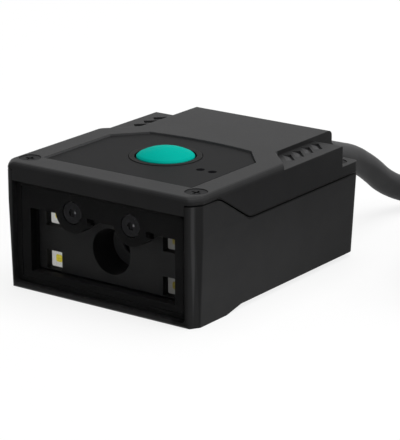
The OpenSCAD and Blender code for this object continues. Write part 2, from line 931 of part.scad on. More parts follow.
// Bezel: frame behind the window with an aperture and two screw lobes
module front_bezel() {
    aperture_top = engine_screw_z - aperture_drop;
    slot_size = [1.7, 1];
    color("#131314")
        difference() {
            union() {
                between(bezel_y, bezel_y + bezel_t)
                    difference() {
                        translate([0, pane_z])
                            round_rect(pane_w, pane_h, pane_r - pane_gap);
                        translate([-aperture_w / 2, sill_z])
                            square([aperture_w, aperture_top - sill_z]);
                    }
                for (s = [-1, 1])
                    translate([s * engine_screw_span / 2, 0, engine_screw_z]) {
                        between(bezel_y, bezel_y + bezel_t)
                            bezel_lobe();
                        between(bezel_y + bezel_t - slice, engine_y)
                            intersection() {
                                circle(lobe_r);
                                translate([-lobe_r, engine_screw_down - 2 * lobe_r])
                                    square(2 * lobe_r);
                            }
                    }
            }
            for (s = [-1, 1])
                translate([s * engine_screw_span / 2, 0, engine_screw_z]) {
                    between(bezel_y - cut, engine_y + cut)
                        circle(d = screw_d + 2 * clear);
                    between(bezel_y - cut, bezel_y + head_h + head_sink)
                        circle(d = head_d + 0.4);
                    between(bezel_y - cut, bezel_y + bezel_t + slice)
                        translate([lobe_r + 0.4, -0.9])
                            square(slot_size, center = true);
                }
        }
}

// The two screws that hold the bezel on the engine
module engine_screws() {
    shank = engine_y + plate_t - bezel_y - head_h - head_sink + 1;
    color("#5a5a5c")
        for (s = [-1, 1])
            translate([s * engine_screw_span / 2, bezel_y + head_sink, engine_screw_z])
                rotate([-90, 0, 0])
                    difference() {
                        union() {
                            cylinder(d = head_d, h = head_h);
                            cylinder(d = screw_d, h = head_h + shank);
                        }
                        translate([0, 0, -cut])
                            cylinder(d = 1.7, h = cut + head_h * 0.6, $fn = 6);
                    }
}

// Engine frame: face plate with lens hole and lamp pockets, on an open box
module engine_frame() {
    color("#1d1d1e")
        difference() {
            union() {
                difference() {
                    box([-engine_w / 2, engine_y, engine_z], [engine_w / 2, engine_rear, engine_top]);
                    box(
                        [engine_wall - engine_w / 2, engine_y + plate_t, engine_z + engine_wall],
                        [engine_w / 2 - engine_wall, engine_rear + cut, engine_top - engine_wall]
                    );
                }
                for (s = [-1, 1])
                    translate([s * engine_screw_span / 2, 0, engine_screw_z])
                        between(engine_y + plate_t - slice, engine_y + plate_t + 2)
                            circle(r = 2);
                translate([0, 0, lens_z])
                    between(engine_y + plate_t - slice, engine_rear)
                        circle(d = lens_hole_d + 2 * engine_wall);
            }
            translate([0, 0, lens_z])
                between(engine_y - cut, engine_rear + cut)
                    circle(d = lens_hole_d);
            for (sx = [-1, 1], sz = [-1, 1])
                translate([sx * lamp_span / 2, 0, lens_z + sz * lamp_rise / 2])
                    between(engine_y - cut, engine_y + pocket_d)
                        square(pocket_w, center = true);
            for (s = [-1, 1])
                translate([s * engine_screw_span / 2, 0, engine_screw_z])
                    between(engine_y - cut, engine_y + plate_t + 1.2)
                        circle(d = screw_d + 2 * clear);
        }
}

// Lens barrel at the end of the lens hole, open behind for the image sensor
module lens_barrel() {
    color("#161617")
        translate([0, 0, lens_z])
            difference() {
                between(barrel_y, engine_rear)
                    circle(d = lens_hole_d - 2 * clear);
                between(barrel_y - cut, engine_rear)
                    circle(d = lens_d + 2 * clear);
                between(barrel_y + barrel_front_t, engine_rear + cut)
                    circle(barrel_room_r);
            }
}

// Front lens, domed towards the front
module lens_glass() {
    r = lens_d / 2;
    color([0.1, 0.12, 0.16, 0.6])
        translate([0, barrel_y, lens_z])
            rotate([-90, 0, 0])
                rotate_extrude()
                    polygon(concat(
                        curve([0, 0], [r * 0.6, 0], [r, lens_bulge], 6),
                        [[r, lens_bulge + lens_t], [0, lens_bulge + lens_t]]
                    ));
}

// Children at the four lamp places
module at_lamps() {
    for (sx = [-1, 1], sz = [-1, 1])
        translate([sx * lamp_span / 2, 0, lens_z + sz * lamp_rise / 2])
            children();
}

// White packages of the four lamps
module illumination_lamps() {
    color("#f2f2ec")
        at_lamps()
            between(lamp_y, lamp_y + lamp_t)
                round_rect(lamp_w, lamp_w, 0.3);
}

// Yellow emitters of the four lamps
module lamp_emitters() {
    color("#e6d24a")
        at_lamps()
            between(lamp_y - emitter_t, lamp_y)
                circle(d = emitter_d);
}

// Circuit board on the back of the engine
module engine_board() {
    color("#1f4a34")
        box(
            [engine_gap - engine_w / 2, engine_rear, engine_z + engine_gap],
            [engine_w / 2 - engine_gap, engine_board_rear, engine_top - engine_gap]
        );
}

// Image sensor behind the lens
module image_sensor() {
    color("#25262b")
        translate([-sensor_size[0] / 2, engine_rear - sensor_size[1], lens_z - sensor_size[2] / 2])
            cube(sensor_size);
}

// Flat ribbon from the engine board down to the main board
module flex_ribbon() {
    drop_y = engine_board_rear + socket_t;
    bend_y = drop_y + ribbon_t + ribbon_bend;
    bend_z = board_top + ribbon_t + ribbon_bend;
    color("#b5792c")
        across(ribbon_w)
            difference() {
                union() {
                    translate([drop_y, bend_z])
                        square([ribbon_t, ribbon_rise - ribbon_bend]);
                    translate([bend_y, bend_z])
                        circle(ribbon_bend + ribbon_t);
                    translate([bend_y, board_top])
                        square([ribbon_run, ribbon_t]);
                }
                translate([bend_y, bend_z])
                    circle(ribbon_bend);
                translate([bend_y, board_top + ribbon_t])
                    square([2 * ribbon_bend, 3 * ribbon_bend]);
                translate([drop_y + ribbon_t, bend_z])
                    square([2 * ribbon_bend, 3 * ribbon_bend]);
            }
}

// Ribbon sockets on the engine board and on the main board
module flex_connectors() {
    ribbon_end = engine_board_rear + socket_t + ribbon_t + ribbon_bend + ribbon_run;
    low = board_top + socket_low;
    color("#d9d4c4") {
        box([-socket_w / 2, engine_board_rear, low], [socket_w / 2, engine_board_rear + socket_t, low + socket_h]);
        box(
            [-socket_w / 2, ribbon_end, board_top],
            [socket_w / 2, ribbon_end + socket_h, board_top + socket_flat_h]
        );
    }
}

// Main board on its four posts
module main_board() {
    color("#1f4a34")
        difference() {
            box([-board_hw, board_front, board_z], [board_hw, board_rear, board_top]);
            both_sides()
                for (y = post_ys)
                    translate([post_x, y, board_z - cut])
                        cylinder(d = screw_d + 2 * clear, h = board_t + 2 * cut);
        }
}

// Block on the main board, by the middle of its base
module on_board(x, y, size) {
    translate([x - size[0] / 2, y - size[1] / 2, board_top])
        cube(size);
}

// Decoder chip
module decoder_chip() {
    color("#1a1a1c")
        on_board(0, decoder_y, decoder_size);
}

// Memory chip
module memory_chip() {
    color("#1a1a1c")
        on_board(decoder_size[0] / 2 + memory_gap + memory_size[0] / 2, decoder_y, memory_size);
}

// Capacitors beside the decoder chip
module capacitors() {
    x = -decoder_size[0] / 2 - memory_gap - capacitor_size[0] / 2;
    color("#8c6a3f")
        for (i = [-1 : 1])
            on_board(x, decoder_y + capacitor_pitch * i, capacitor_size);
}

// Round beeper with its sound hole
module beeper() {
    color("#18181a")
        translate([beeper_x, header_y, board_top])
            difference() {
                cylinder(d = beeper_d, h = beeper_h);
                translate([0, 0, beeper_h - beeper_hole_d / 2])
                    cylinder(d = beeper_hole_d, h = beeper_hole_d);
            }
}

// Screw of the boards, along Z, with its head's underside at the origin
module small_screw() {
    cylinder(d = small_head_d, h = small_head_h);
    translate([0, 0, -small_shank])
        cylinder(d = screw_d, h = small_shank + slice);
}

// Screws that hold the main board on its posts
module board_screws() {
    color("#c0c0c4")
        both_sides()
            for (y = post_ys)
                translate([post_x, y, board_top])
                    small_screw();
}

// Small board under the button, hung from the lid's posts
module button_board() {
    color("#1f4a34")
        difference() {
            box(
                [button_board_left, button_board_front, button_board_z],
                [button_board_right, button_board_rear, button_board_top]
            );
            for (p = lid_posts)
                translate([p[0], p[1], button_board_z - cut])
                    cylinder(d = screw_d + 2 * clear, h = board_t + 2 * cut);
        }
}

// Push switch under the button's stem
module push_switch() {
    color("#202022")
        translate([0, button_y, button_board_top]) {
            translate([-switch_w / 2, -switch_w / 2, 0])
                cube([switch_w, switch_w, switch_h]);
            cylinder(r = plunger_r, h = plunger_top - button_board_top);
        }
}

// Indicator lamps under the light pipes
module indicator_lamps() {
    color("#e9e9e0")
        for (s = [-1, 1])
            translate([pipe_x + s * pipe_pitch / 2, pipe_y, button_board_top])
                translate([-0.5, -0.5, 0])
                    cube([1, 1, 0.5]);
}

// Screws that hold the button board on the lid
module button_board_screws() {
    color("#c0c0c4")
        for (p = lid_posts)
            translate([p[0], p[1], button_board_z])
                mirror([0, 0, 1])
                    small_screw();
}

// Header of the cable on the main board
module cable_header() {
    color("#e4e0d2")
        on_board(header_x, header_y, header_size);
}

// Wires from the gland to the header
module inner_wires() {
    color("#252527")
        tube(wire_route, wire_d);
}

// Threaded mounting inserts in the underside
module mount_inserts() {
    color("#b08d3c")
        both_sides()
            translate([mount_span / 2, front_y + mount_back, rear_raise])
                difference() {
                    cylinder(d = insert_d, h = insert_len);
                    translate([0, 0, -cut])
                        cylinder(d = mount_d, h = insert_len + 2 * cut);
                }
}

// Rubber gland, with a neck in the rear wall and a tapered tail
module cable_gland() {
    neck_r = gland_d / 2;
    flange = gland_flange_d / 2;
    tip_r = cable_d / 2 + 0.7;
    flange_len = 1.6;
    groove = 0.35;
    pitch = (gland_len - flange_len) / gland_ribs;
    function tail_r(z) = flange + (tip_r - flange) * (z - flange_len) / (gland_len - flange_len);
    color("#1c1c1d")
        translate([cable_x, rear_y, cable_z])
            rotate([-90, 0, 0])
                rotate_extrude()
                    polygon([
                        [gland_bore_r, -wall - inner_flange_t], [flange, -wall - inner_flange_t],
                        [flange, -wall], [neck_r, -wall], [neck_r, 0], [flange, 0], [flange, flange_len],
                        for (i = [0 : gland_ribs - 1])
                            let (low = flange_len + (i + 0.25) * pitch, high = low + pitch / 2)
                                each [
                                    [tail_r(low), low], [tail_r(low) - groove, low],
                                    [tail_r(high) - groove, high], [tail_r(high), high]
                                ],
                        [tip_r, gland_len], [gland_bore_r, gland_len]
                    ]);
}

// Cable from the gland to the coil
module cable_lead() {
    color("#2a2a2b")
        tube(lead_route, cable_d);
}

// Section of the coil, as a ring about the Z axis
module coil_section(shrink = 0) {
    translate([coil_d / 2, coil_width / 2])
        round_rect(coil_width - 2 * shrink, coil_width - 2 * shrink, cable_d / 2 - shrink);
}

// Outer form of the coiled cable, with a groove for the tie
module cable_coil() {
    color("#2a2a2b")
        translate(coil_centre)
            difference() {
                rotate_extrude($fn = 72)
                    coil_section();
                tie_band(coil_out, tie_w + 2 * clear, tie_t + clear);
            }
}

// Band around the coil's section at the tie
module tie_band(reach, width, depth) {
    rotate([0, 0, tie_angle])
        intersection() {
            difference() {
                rotate_extrude($fn = 72)
                    coil_section();
                rotate_extrude($fn = 72)
                    coil_section(depth);
            }
            translate([0, -width / 2, -cut])
                cube([reach + cut, width, coil_width + 2 * cut]);
        }
}

// Tie around the coil
module cable_tie() {
    color("#111112")
        translate(coil_centre)
            tie_band(coil_out, tie_w, tie_t);
}

// Cable from the coil up to the plug
module plug_lead() {
    color("#2a2a2b")
        translate(coil_centre)
            tube(plug_route, cable_d, [0, 0, 1]);
}

// Places a piece at the end of the plug lead, with the plug's length along X
module at_plug() {
    translate(plug_start)
        rotate([0, 0, plug_turn])
            children();
}

// Moulded body of the plug, with a tapered neck
module plug_body() {
    size = plug_body_size;
    color("#1c1c1d")
        at_plug() {
            rotate([0, 90, 0])
                cylinder(r1 = cable_d / 2 + 0.6, r2 = size[2] / 2 - slice, h = plug_neck);
            translate([plug_neck, 0, 0])
                rotate([90, 0, 90])
                    linear_extrude(size[0] - plug_neck)
                        round_rect(size[1], size[2], 2);
        }
}

// Metal shell of the plug, with its four latch windows
module plug_shell() {
    size = plug_shell_size;
    color("#c8c8cc")
        at_plug()
            translate([plug_body_size[0], 0, 0])
                difference() {
                    rotate([90, 0, 90])
                        linear_extrude(size[0])
                            difference() {
                                square([size[1], size[2]], center = true);
                                square([size[1] - 2 * plug_shell_t, size[2] - 2 * plug_shell_t], center = true);
                            }
                    for (side = [-1, 1])
                        translate([size[0] - latch_back, side * latch_pitch / 2, 0])
                            cube([latch_w, latch_w, size[2] + 2 * cut], center = true);
                }
}

// Insulating tongue inside the plug's shell
module plug_tongue() {
    size = plug_shell_size;
    inner_h = size[2] - 2 * plug_shell_t;
    color("#e8e8e4")
        at_plug()
            translate([plug_body_size[0], clear - size[1] / 2 + plug_shell_t, clear - inner_h / 2])
                cube([size[0] - 0.6, size[1] - 2 * plug_shell_t - 2 * clear, inner_h / 2]);
}

bottom_housing();
top_cover();
label_panel();
button_cap();
button_ring();
indicator_pipes();
cover_screws();
front_window();
window_seal();
front_bezel();
engine_screws();
engine_frame();
lens_barrel();
lens_glass();
illumination_lamps();
lamp_emitters();
engine_board();
image_sensor();
flex_ribbon();
flex_connectors();
main_board();
decoder_chip();
memory_chip();
capacitors();
beeper();
board_screws();
button_board();
push_switch();
indicator_lamps();
button_board_screws();
cable_header();
inner_wires();
mount_inserts();
cable_gland();
cable_lead();
cable_coil();
cable_tie();
plug_lead();
plug_body();
plug_shell();
plug_tongue();
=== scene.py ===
"""Looks of the fixed barcode reader: finishes, cable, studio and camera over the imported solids."""

import logging
import math
from dataclasses import dataclass
from enum import Enum
from typing import Any, Protocol, Sequence

import bmesh
import bpy
import numpy as np
from mathutils import Matrix

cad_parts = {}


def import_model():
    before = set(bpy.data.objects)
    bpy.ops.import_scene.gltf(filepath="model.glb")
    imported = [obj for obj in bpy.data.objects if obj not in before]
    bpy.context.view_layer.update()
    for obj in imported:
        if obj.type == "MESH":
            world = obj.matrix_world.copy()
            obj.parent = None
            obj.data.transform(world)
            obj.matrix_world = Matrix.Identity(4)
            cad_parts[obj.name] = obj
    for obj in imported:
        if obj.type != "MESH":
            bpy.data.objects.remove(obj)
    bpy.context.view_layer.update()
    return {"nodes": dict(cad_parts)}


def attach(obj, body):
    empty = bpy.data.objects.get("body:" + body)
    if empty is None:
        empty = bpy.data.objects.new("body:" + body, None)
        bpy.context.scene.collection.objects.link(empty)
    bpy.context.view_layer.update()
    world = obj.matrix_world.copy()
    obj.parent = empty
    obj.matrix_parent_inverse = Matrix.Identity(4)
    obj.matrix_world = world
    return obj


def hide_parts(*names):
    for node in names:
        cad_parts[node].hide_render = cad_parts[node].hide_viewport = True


LOG = logging.getLogger("reader")
MM = 0.001
EDGE_SAMPLES = 6
EDGE_TURN = (0.01, 0.2)
WELD_M = 1e-7
STEEP = 0.9
Colour = tuple[float, float, float]
Point = tuple[float, float, float]
Pair = tuple[float, float]


class Body(Enum):
    """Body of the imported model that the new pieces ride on."""

    READER = "reader"


class Ray(Enum):
    """Kinds of ray that see the pale studio."""

    CAMERA = "Is Camera Ray"
    GLOSSY = "Is Glossy Ray"
    TRANSMISSION = "Is Transmission Ray"


class Value:
    """A shader socket that can be used in Python sums."""

    def __init__(self, graph: "Graph", socket: bpy.types.NodeSocket | None) -> None:
        """Wraps an output socket of a graph, or nothing for a node that ends it."""
        self.graph = graph
        self.socket = socket

    def _math(self, operation: str, a: Any, b: Any) -> "Value":
        """Result of a Math node on two numbers or values."""
        return self.graph.node("ShaderNodeMath", {"operation": operation}, {0: a, 1: b})

    def __add__(self, other: Any) -> "Value":
        """Sum."""
        return self._math("ADD", self, other)

    def __radd__(self, other: Any) -> "Value":
        """Sum, with a number first."""
        return self._math("ADD", other, self)

    def __sub__(self, other: Any) -> "Value":
        """Difference."""
        return self._math("SUBTRACT", self, other)

    def __rsub__(self, other: Any) -> "Value":
        """Difference, with a number first."""
        return self._math("SUBTRACT", other, self)

    def __mul__(self, other: Any) -> "Value":
        """Product."""
        return self._math("MULTIPLY", self, other)

    def __rmul__(self, other: Any) -> "Value":
        """Product, with a number first."""
        return self._math("MULTIPLY", other, self)

    def __truediv__(self, other: Any) -> "Value":
        """Quotient."""
        return self._math("DIVIDE", self, other)

    def __rtruediv__(self, other: Any) -> "Value":
        """Quotient, with a number first."""
        return self._math("DIVIDE", other, self)

    def least(self, other: Any) -> "Value":
        """The smaller of two."""
        return self._math("MINIMUM", self, other)

    def most(self, other: Any) -> "Value":
        """The larger of two."""
        return self._math("MAXIMUM", self, other)

    def band(self, low: float, high: float) -> "Value":
        """Smooth step from 0 at low to 1 at high."""
        inputs = {"Value": self, "From Min": low, "From Max": high}
        return self.graph.node("ShaderNodeMapRange", {"interpolation_type": "SMOOTHSTEP"}, inputs)

    def spread(self, reach: float) -> "Value":
        """Smooth step about one half, from 0 at the reach below it to 1 at the reach above it."""
        return self.band(0.5 - reach, 0.5 + reach)

    def swing(self, amount: float) -> "Value":
        """A pattern about one half, moved to be about zero and scaled."""
        return (self - 0.5) * amount


class Graph:
    """The nodes of one material or world."""

    def __init__(self, tree: bpy.types.NodeTree) -> None:
        """Starts on a node tree, which is emptied."""
        self.tree = tree
        self.tree.nodes.clear()

    def node(
        self,
        kind: str,
        settings: dict[str, Any] | None = None,
        inputs: dict[str | int, Any] | None = None,
        output: str | int = 0,
    ) -> Value:
        """Adds any node.

        Args:
            kind: the node's type.
            settings: properties, set before the sockets.
            inputs: values or links of the sockets, by name or number.
            output: the output socket wanted.

        Returns:
            That output.
        """
        made = self.tree.nodes.new(kind)
        for key, value in (settings or {}).items():
            setattr(made, key, value)
        for key, value in (inputs or {}).items():
            socket = made.inputs[key]
            if isinstance(value, Value):
                self.tree.links.new(value.socket, socket)
            elif isinstance(value, tuple) and len(value) == 3 and socket.type == "RGBA":
                socket.default_value = (*value, 1.0)
            else:
                socket.default_value = value
        return Value(self, made.outputs[output] if made.outputs else None)

    def place(self) -> Value:
        """Object coordinates, in metres."""
        return self.node("ShaderNodeTexCoord", output="Object")

    def axis(self, name: str) -> Value:
        """One Object coordinate, in metres."""
        return self.node("ShaderNodeSeparateXYZ", inputs={0: self.place()}, output=name)

    def noise(self, size_mm: float, detail: float = 3.0, stretch: Sequence[float] = (1, 1, 1)) -> Value:
        """Cloudy pattern.

        Args:
            size_mm: size of its features.
            detail: number of finer layers.
            stretch: scale along each axis.

        Returns:
            A value about one half.
        """
        where = self.node("ShaderNodeMapping", inputs={"Vector": self.place(), "Scale": tuple(stretch)})
        return self.node(
            "ShaderNodeTexNoise", {}, {"Vector": where, "Scale": 1 / (size_mm * MM), "Detail": detail}
        )

    def blend(self, a: Any, b: Any, share: Any) -> Value:
        """Mix of two colours, by the share of the second from 0 to 1."""
        return self.node("ShaderNodeMix", {"data_type": "RGBA"}, {0: share, 6: a, 7: b}, 2)

    def soft_edges(self, radius_mm: float) -> Value:
        """Normals rounded over the edges of the piece."""
        return self.node("ShaderNodeBevel", {"samples": EDGE_SAMPLES}, {"Radius": radius_mm * MM}, "Normal")

    def edge_mask(self, rounded: Value) -> Value:
        """Mask of the edges, where the rounded normal turns away from the flat one.

        Args:
            rounded: rounded normals.

        Returns:
            1 on an edge and 0 away from it.
        """
        flat = self.node("ShaderNodeNewGeometry", output="Normal")
        alike = self.node(
            "ShaderNodeVectorMath", {"operation": "DOT_PRODUCT"}, {0: rounded, 1: flat}, "Value"
        )
        return (1 - alike).band(*EDGE_TURN)

    def bump(self, height: Value, depth_mm: float, strength: float, normal: Value | None = None) -> Value:
        """Normals with a relief.

        Args:
            height: the relief.
            depth_mm: depth of the relief.
            strength: share of it that shows.
            normal: normals to start from.

        Returns:
            The new normals.
        """
        inputs = {"Height": height, "Distance": depth_mm * MM, "Strength": strength}
        if normal is not None:
            inputs["Normal"] = normal
        return self.node("ShaderNodeBump", {}, inputs, "Normal")


def new_material(name: str) -> tuple[bpy.types.Material, Graph]:
    """Makes an empty material.

    Args:
        name: its name.

    Returns:
        The material and its graph.
    """
    made = bpy.data.materials.new(name)
    made.use_nodes = True
    return made, Graph(made.node_tree)


def grey(level: float, blue: float = 0.0) -> Colour:
    """A grey of a level, with a little more blue where that is given."""
    return (level, level, level + blue)


def tinted(colour: Colour, gain: float) -> Colour:
    """A colour made lighter or darker by a gain."""
    return tuple(min(1.0, c * gain) for c in colour)


@dataclass(frozen=True)
class Finish:
    """A surface that makes its own material, from the sockets of one Principled shader.

    Where a finish has a relief, it is the depth in millimetres and the share of it that shows.
    """

    name: str
    colour: Colour

    def shaded(self, g: Graph, low: float, high: float, share: Value) -> Value:
        """The colour between two gains of it, by a share."""
        return g.blend(tinted(self.colour, low), tinted(self.colour, high), share)

    def sockets(self, g: Graph) -> dict[str, Any]:
        """Sockets of the shader, which each finish gives."""
        raise NotImplementedError

    def material(self) -> bpy.types.Material:
        """Builds the material.

        Returns:
            The material.
        """
        made, g = new_material(self.name)
        shader = g.node("ShaderNodeBsdfPrincipled", {}, self.sockets(g), "BSDF")
        g.node("ShaderNodeOutputMaterial", {}, {"Surface": shader})
        return made


class Tone(Protocol):
    """Part of a piece with painted light or shade: its gain, and where it is."""

    gain: float

    def mask(self, g: Graph) -> Value:
        """1 in the part and 0 outside it."""


def toned(g: Graph, base: Value, colour: Colour, tones: Sequence[Tone]) -> Value:
    """Lays parts of painted light or shade over a colour.

    Args:
        g: the material's graph.
        base: the colour so far.
        colour: the plain colour that each part's gain scales.
        tones: the parts, each over those before it.

    Returns:
        The new colour.
    """
    for tone in tones:
        base = g.blend(base, tinted(colour, tone.gain), tone.mask(g))
    return base


@dataclass(frozen=True)
class ToneBox:
    """Part of a piece with painted light or shade: a box between two corners, in millimetres.

    Where it is mirrored, its like on the other side of the reader belongs to it.
    """

    low: Point
    high: Point
    gain: float
    soft: float = 0.1
    mirrored: bool = False

    def mask(self, g: Graph) -> Value:
        """1 inside the box and 0 outside it, from the steps of the three coordinates.

        Args:
            g: the material's graph.

        Returns:
            The mask.
        """
        places = [g.axis(axis) for axis in "XYZ"]
        if self.mirrored:
            places[0] = places[0].most(0 - places[0])
        inside = [
            place.band((low - self.soft) * MM, low * MM)
            * (1 - place.band(high * MM, (high + self.soft) * MM))
            for place, low, high in zip(places, self.low, self.high)
        ]
        return inside[0] * inside[1] * inside[2]


@dataclass(frozen=True)
class SeamLine:
    """Dust and shade along the seam of the case, fading to the front, in millimetres.

    The seam is level at its two ends, with a slope between them.
    """

    gain: float = 0.3
    front_z: float = 21.65
    rear_z: float = 16.15
    slope_start: float = -18.7
    slope_end: float = -9.7
    fade_start: float = -24.7
    fade_end: float = -17.0
    half: float = 0.28
    soft: float = 0.12

    def mask(self, g: Graph) -> Value:
        """1 by the seam and 0 away from it, from the height above a line that falls evenly along Y.

        Args:
            g: the material's graph.

        Returns:
            The mask.
        """
        along, height = g.axis("Y"), g.axis("Z")
        slope = (self.slope_end - self.slope_start) * MM
        share = ((along - self.slope_start * MM) / slope).most(0.0).least(1.0)
        above = height - (self.front_z + share * (self.rear_z - self.front_z)) * MM
        away = above.most(0 - above)
        beside = 1 - away.band(self.half * MM, (self.half + self.soft) * MM)
        return beside * along.band(self.fade_start * MM, self.fade_end * MM)


@dataclass(frozen=True)
class MouldedPlastic(Finish):
    """Moulded plastic with an eroded grain, faint mottling, lighter edges that are partly rubbed and partly a
    painted highlight, and parts of painted light or shade.

    The grain is its size and its depth, in millimetres.
    """

    roughness: float = 0.6
    specular: float = 0.2
    grain: Pair = (0.22, 0.012)
    mottling: float = 0.1
    edge_mm: float = 0.22
    edge_rub_and_highlight: float = 1.5
    tones: tuple[Tone, ...] = ()
    cloud_mm: float = 5.0
    least_rub_and_highlight: float = 0.4
    grain_gloss: float = 0.12
    edge_gloss: float = 0.08
    grain_share: float = 0.6

    def sockets(self, g: Graph) -> dict[str, Any]:
        """Sockets of the shader.

        Args:
            g: the material's graph.

        Returns:
            The sockets.
        """
        rounded = g.soft_edges(self.edge_mm)
        edge = g.edge_mask(rounded)
        size_mm, depth_mm = self.grain
        grain = g.noise(size_mm)
        cloud = g.noise(self.cloud_mm)
        body = self.shaded(g, 1 - self.mottling, 1 + self.mottling, ((grain + cloud) * 0.5).spread(0.2))
        # Lighter edges: partly rubbed, partly a painted highlight along each edge.
        rub_and_highlight = edge * (self.least_rub_and_highlight + (1 - self.least_rub_and_highlight) * cloud.spread(0.25))
        rubbed_and_lit = g.blend(body, tinted(self.colour, self.edge_rub_and_highlight), rub_and_highlight)
        gloss = self.roughness + grain.swing(self.grain_gloss) - edge * self.edge_gloss
        return {
            "Base Color": toned(g, rubbed_and_lit, self.colour, self.tones),
            "Roughness": gloss.least(1.0),
            "Specular IOR Level": self.specular,
            "Normal": g.bump(grain, depth_mm, self.grain_share, rounded),
        }


@dataclass(frozen=True)
class LabelFilm(Finish):
    """Satin film with a fine emboss, rubbed patches, and painted shade on its rim and edges at its right
    side.
    """

    roughness: float = 0.5
    specular: float = 0.15
    # Painted shade on the rim at the label's right side.
    rim: ToneBox = ToneBox((15.35, -25.0, 0.0), (17.0, 0.4, 30.0), 0.2, 0.3)
    edge_mm: float = 0.3
    shade_span: Pair = (6.0, 11.0)
    mottling: float = 0.08
    patch_mm: float = 7.0
    patch_gloss: float = 0.1
    emboss_mm: float = 0.12
    emboss_gloss: float = 0.08
    relief: Pair = (0.004, 0.5)

    def sockets(self, g: Graph) -> dict[str, Any]:
        """Sockets of the shader.

        Args:
            g: the material's graph.

        Returns:
            The sockets.
        """
        fine = g.noise(self.emboss_mm, 2)
        rub = g.noise(self.patch_mm, 4)
        rounded = g.soft_edges(self.edge_mm)
        # Edges towards the right side get painted shade.
        start, full = self.shade_span
        edge = g.edge_mask(rounded) * g.axis("X").band(start * MM, full * MM)
        body = self.shaded(g, 1 - self.mottling, 1 + self.mottling, rub.spread(0.15))
        dark = tinted(self.colour, self.rim.gain)
        return {
            "Base Color": g.blend(body, dark, edge.most(self.rim.mask(g))),
            "Roughness": self.roughness + rub.swing(self.patch_gloss) + fine.swing(self.emboss_gloss),
            "Specular IOR Level": self.specular,
            "Normal": g.bump(fine, *self.relief, rounded),
        }


@dataclass(frozen=True)
class Metal(Finish):
    """Turned or plated metal with drawn scratches, darker pits, lighter edges that are partly rubbed and
    partly a painted highlight, and parts of painted light.
    """

    roughness: float = 0.35
    stretch: Point = (1.0, 1.0, 8.0)
    edge_rub_and_highlight: float = 1.4
    rim: float = 1.0
    tones: tuple[Tone, ...] = ()
    edge_mm: float = 0.1
    scratch_mm: float = 0.3
    scratch_gloss: float = 0.25
    pit_mm: float = 0.9
    pit_gain: float = 0.75
    clean_gain: float = 1.1
    relief: Pair = (0.004, 0.5)

    def sockets(self, g: Graph) -> dict[str, Any]:
        """Sockets of the shader.

        Args:
            g: the material's graph.

        Returns:
            The sockets.
        """
        rounded = g.soft_edges(self.edge_mm)
        drawn = g.noise(self.scratch_mm, 4, self.stretch)
        pits = g.noise(self.pit_mm)
        marks = (drawn * 0.6 + pits * 0.4).spread(0.2)
        body = self.shaded(g, self.pit_gain, self.clean_gain, marks)
        # Lighter edges: partly rubbed, partly a painted highlight along each edge.
        rubbed_and_lit = g.blend(body, tinted(self.colour, self.edge_rub_and_highlight), g.edge_mask(rounded))
        return {
            "Base Color": toned(g, rubbed_and_lit, self.colour, self.tones),
            "Metallic": 1.0,
            "Roughness": self.roughness + drawn.swing(self.scratch_gloss),
            "Specular Tint": grey(self.rim),
            "Normal": g.bump(drawn, *self.relief, rounded),
        }


@dataclass(frozen=True)
class ClearPane(Finish):
    """Clear coated pane: mostly see-through, with a soft film of dust."""

    colour: Colour = grey(0.01, 0.002)
    alpha: float = 0.06
    roughness: float = 0.06
    specular: float = 0.04
    dust_mm: float = 3.0
    dust_gain: float = 1.6
    dust_alpha: float = 0.03

    def sockets(self, g: Graph) -> dict[str, Any]:
        """Sockets of the shader.

        Args:
            g: the material's graph.

        Returns:
            The sockets.
        """
        dust = g.noise(self.dust_mm, 5)
        return {
            "Base Color": self.shaded(g, 1.0, self.dust_gain, dust.band(0.4, 0.8)),
            "Roughness": self.roughness * (1 + dust),
            "Specular IOR Level": self.specular,
            "Alpha": self.alpha + dust.swing(self.dust_alpha),
        }


@dataclass(frozen=True)
class LensGlass(Finish):
    """Dark coated lens with a faint smear of another colour."""

    colour: Colour = (0.003, 0.003, 0.006)
    smear: Colour = (0.006, 0.004, 0.012)
    smear_mm: float = 1.2
    smear_gloss: float = 0.05
    roughness: float = 0.04
    specular: float = 0.12
    coat: float = 0.05
    coat_roughness: float = 0.03

    def sockets(self, g: Graph) -> dict[str, Any]:
        """Sockets of the shader.

        Args:
            g: the material's graph.

        Returns:
            The sockets.
        """
        smear = g.noise(self.smear_mm, 4)
        return {
            "Base Color": g.blend(self.colour, self.smear, smear),
            "Roughness": self.roughness + smear * self.smear_gloss,
            "Specular IOR Level": self.specular,
            "Coat Weight": self.coat,
            "Coat Roughness": self.coat_roughness,
        }


@dataclass(frozen=True)
class CircuitBoard(Finish):
    """Solder mask over copper tracks, with bare pads, from cells of a squared pattern."""

    colour: Colour = (0.012, 0.075, 0.035)
    pad: Colour = (0.6, 0.45, 0.2)
    roughness: float = 0.38
    cells_per_m: float = 700.0
    disorder: float = 0.35
    track_span: Pair = (0.42, 0.45)
    track_gains: Pair = (0.8, 1.5)
    pad_span: Pair = (0.1, 0.14)
    fibre_mm: float = 0.4
    fibre_gloss: float = 0.15
    edge_mm: float = 0.1
    relief: Pair = (0.02, 0.6)

    def sockets(self, g: Graph) -> dict[str, Any]:
        """Sockets of the shader.

        Args:
            g: the material's graph.

        Returns:
            The sockets.
        """
        cells = g.node(
            "ShaderNodeTexVoronoi", {"distance": "CHEBYCHEV", "feature": "F1"},
            {"Vector": g.place(), "Scale": self.cells_per_m, "Randomness": self.disorder}, "Distance",
        )
        tracks = cells.band(*self.track_span)
        pads = 1 - cells.band(*self.pad_span)
        fibre = g.noise(self.fibre_mm)
        mask = self.shaded(g, *self.track_gains, tracks * 0.7 + fibre * 0.3)
        return {
            "Base Color": g.blend(mask, self.pad, pads * 0.8),
            "Metallic": pads * 0.9,
            "Roughness": self.roughness + fibre * self.fibre_gloss,
            "Normal": g.bump(tracks, *self.relief, g.soft_edges(self.edge_mm)),
        }


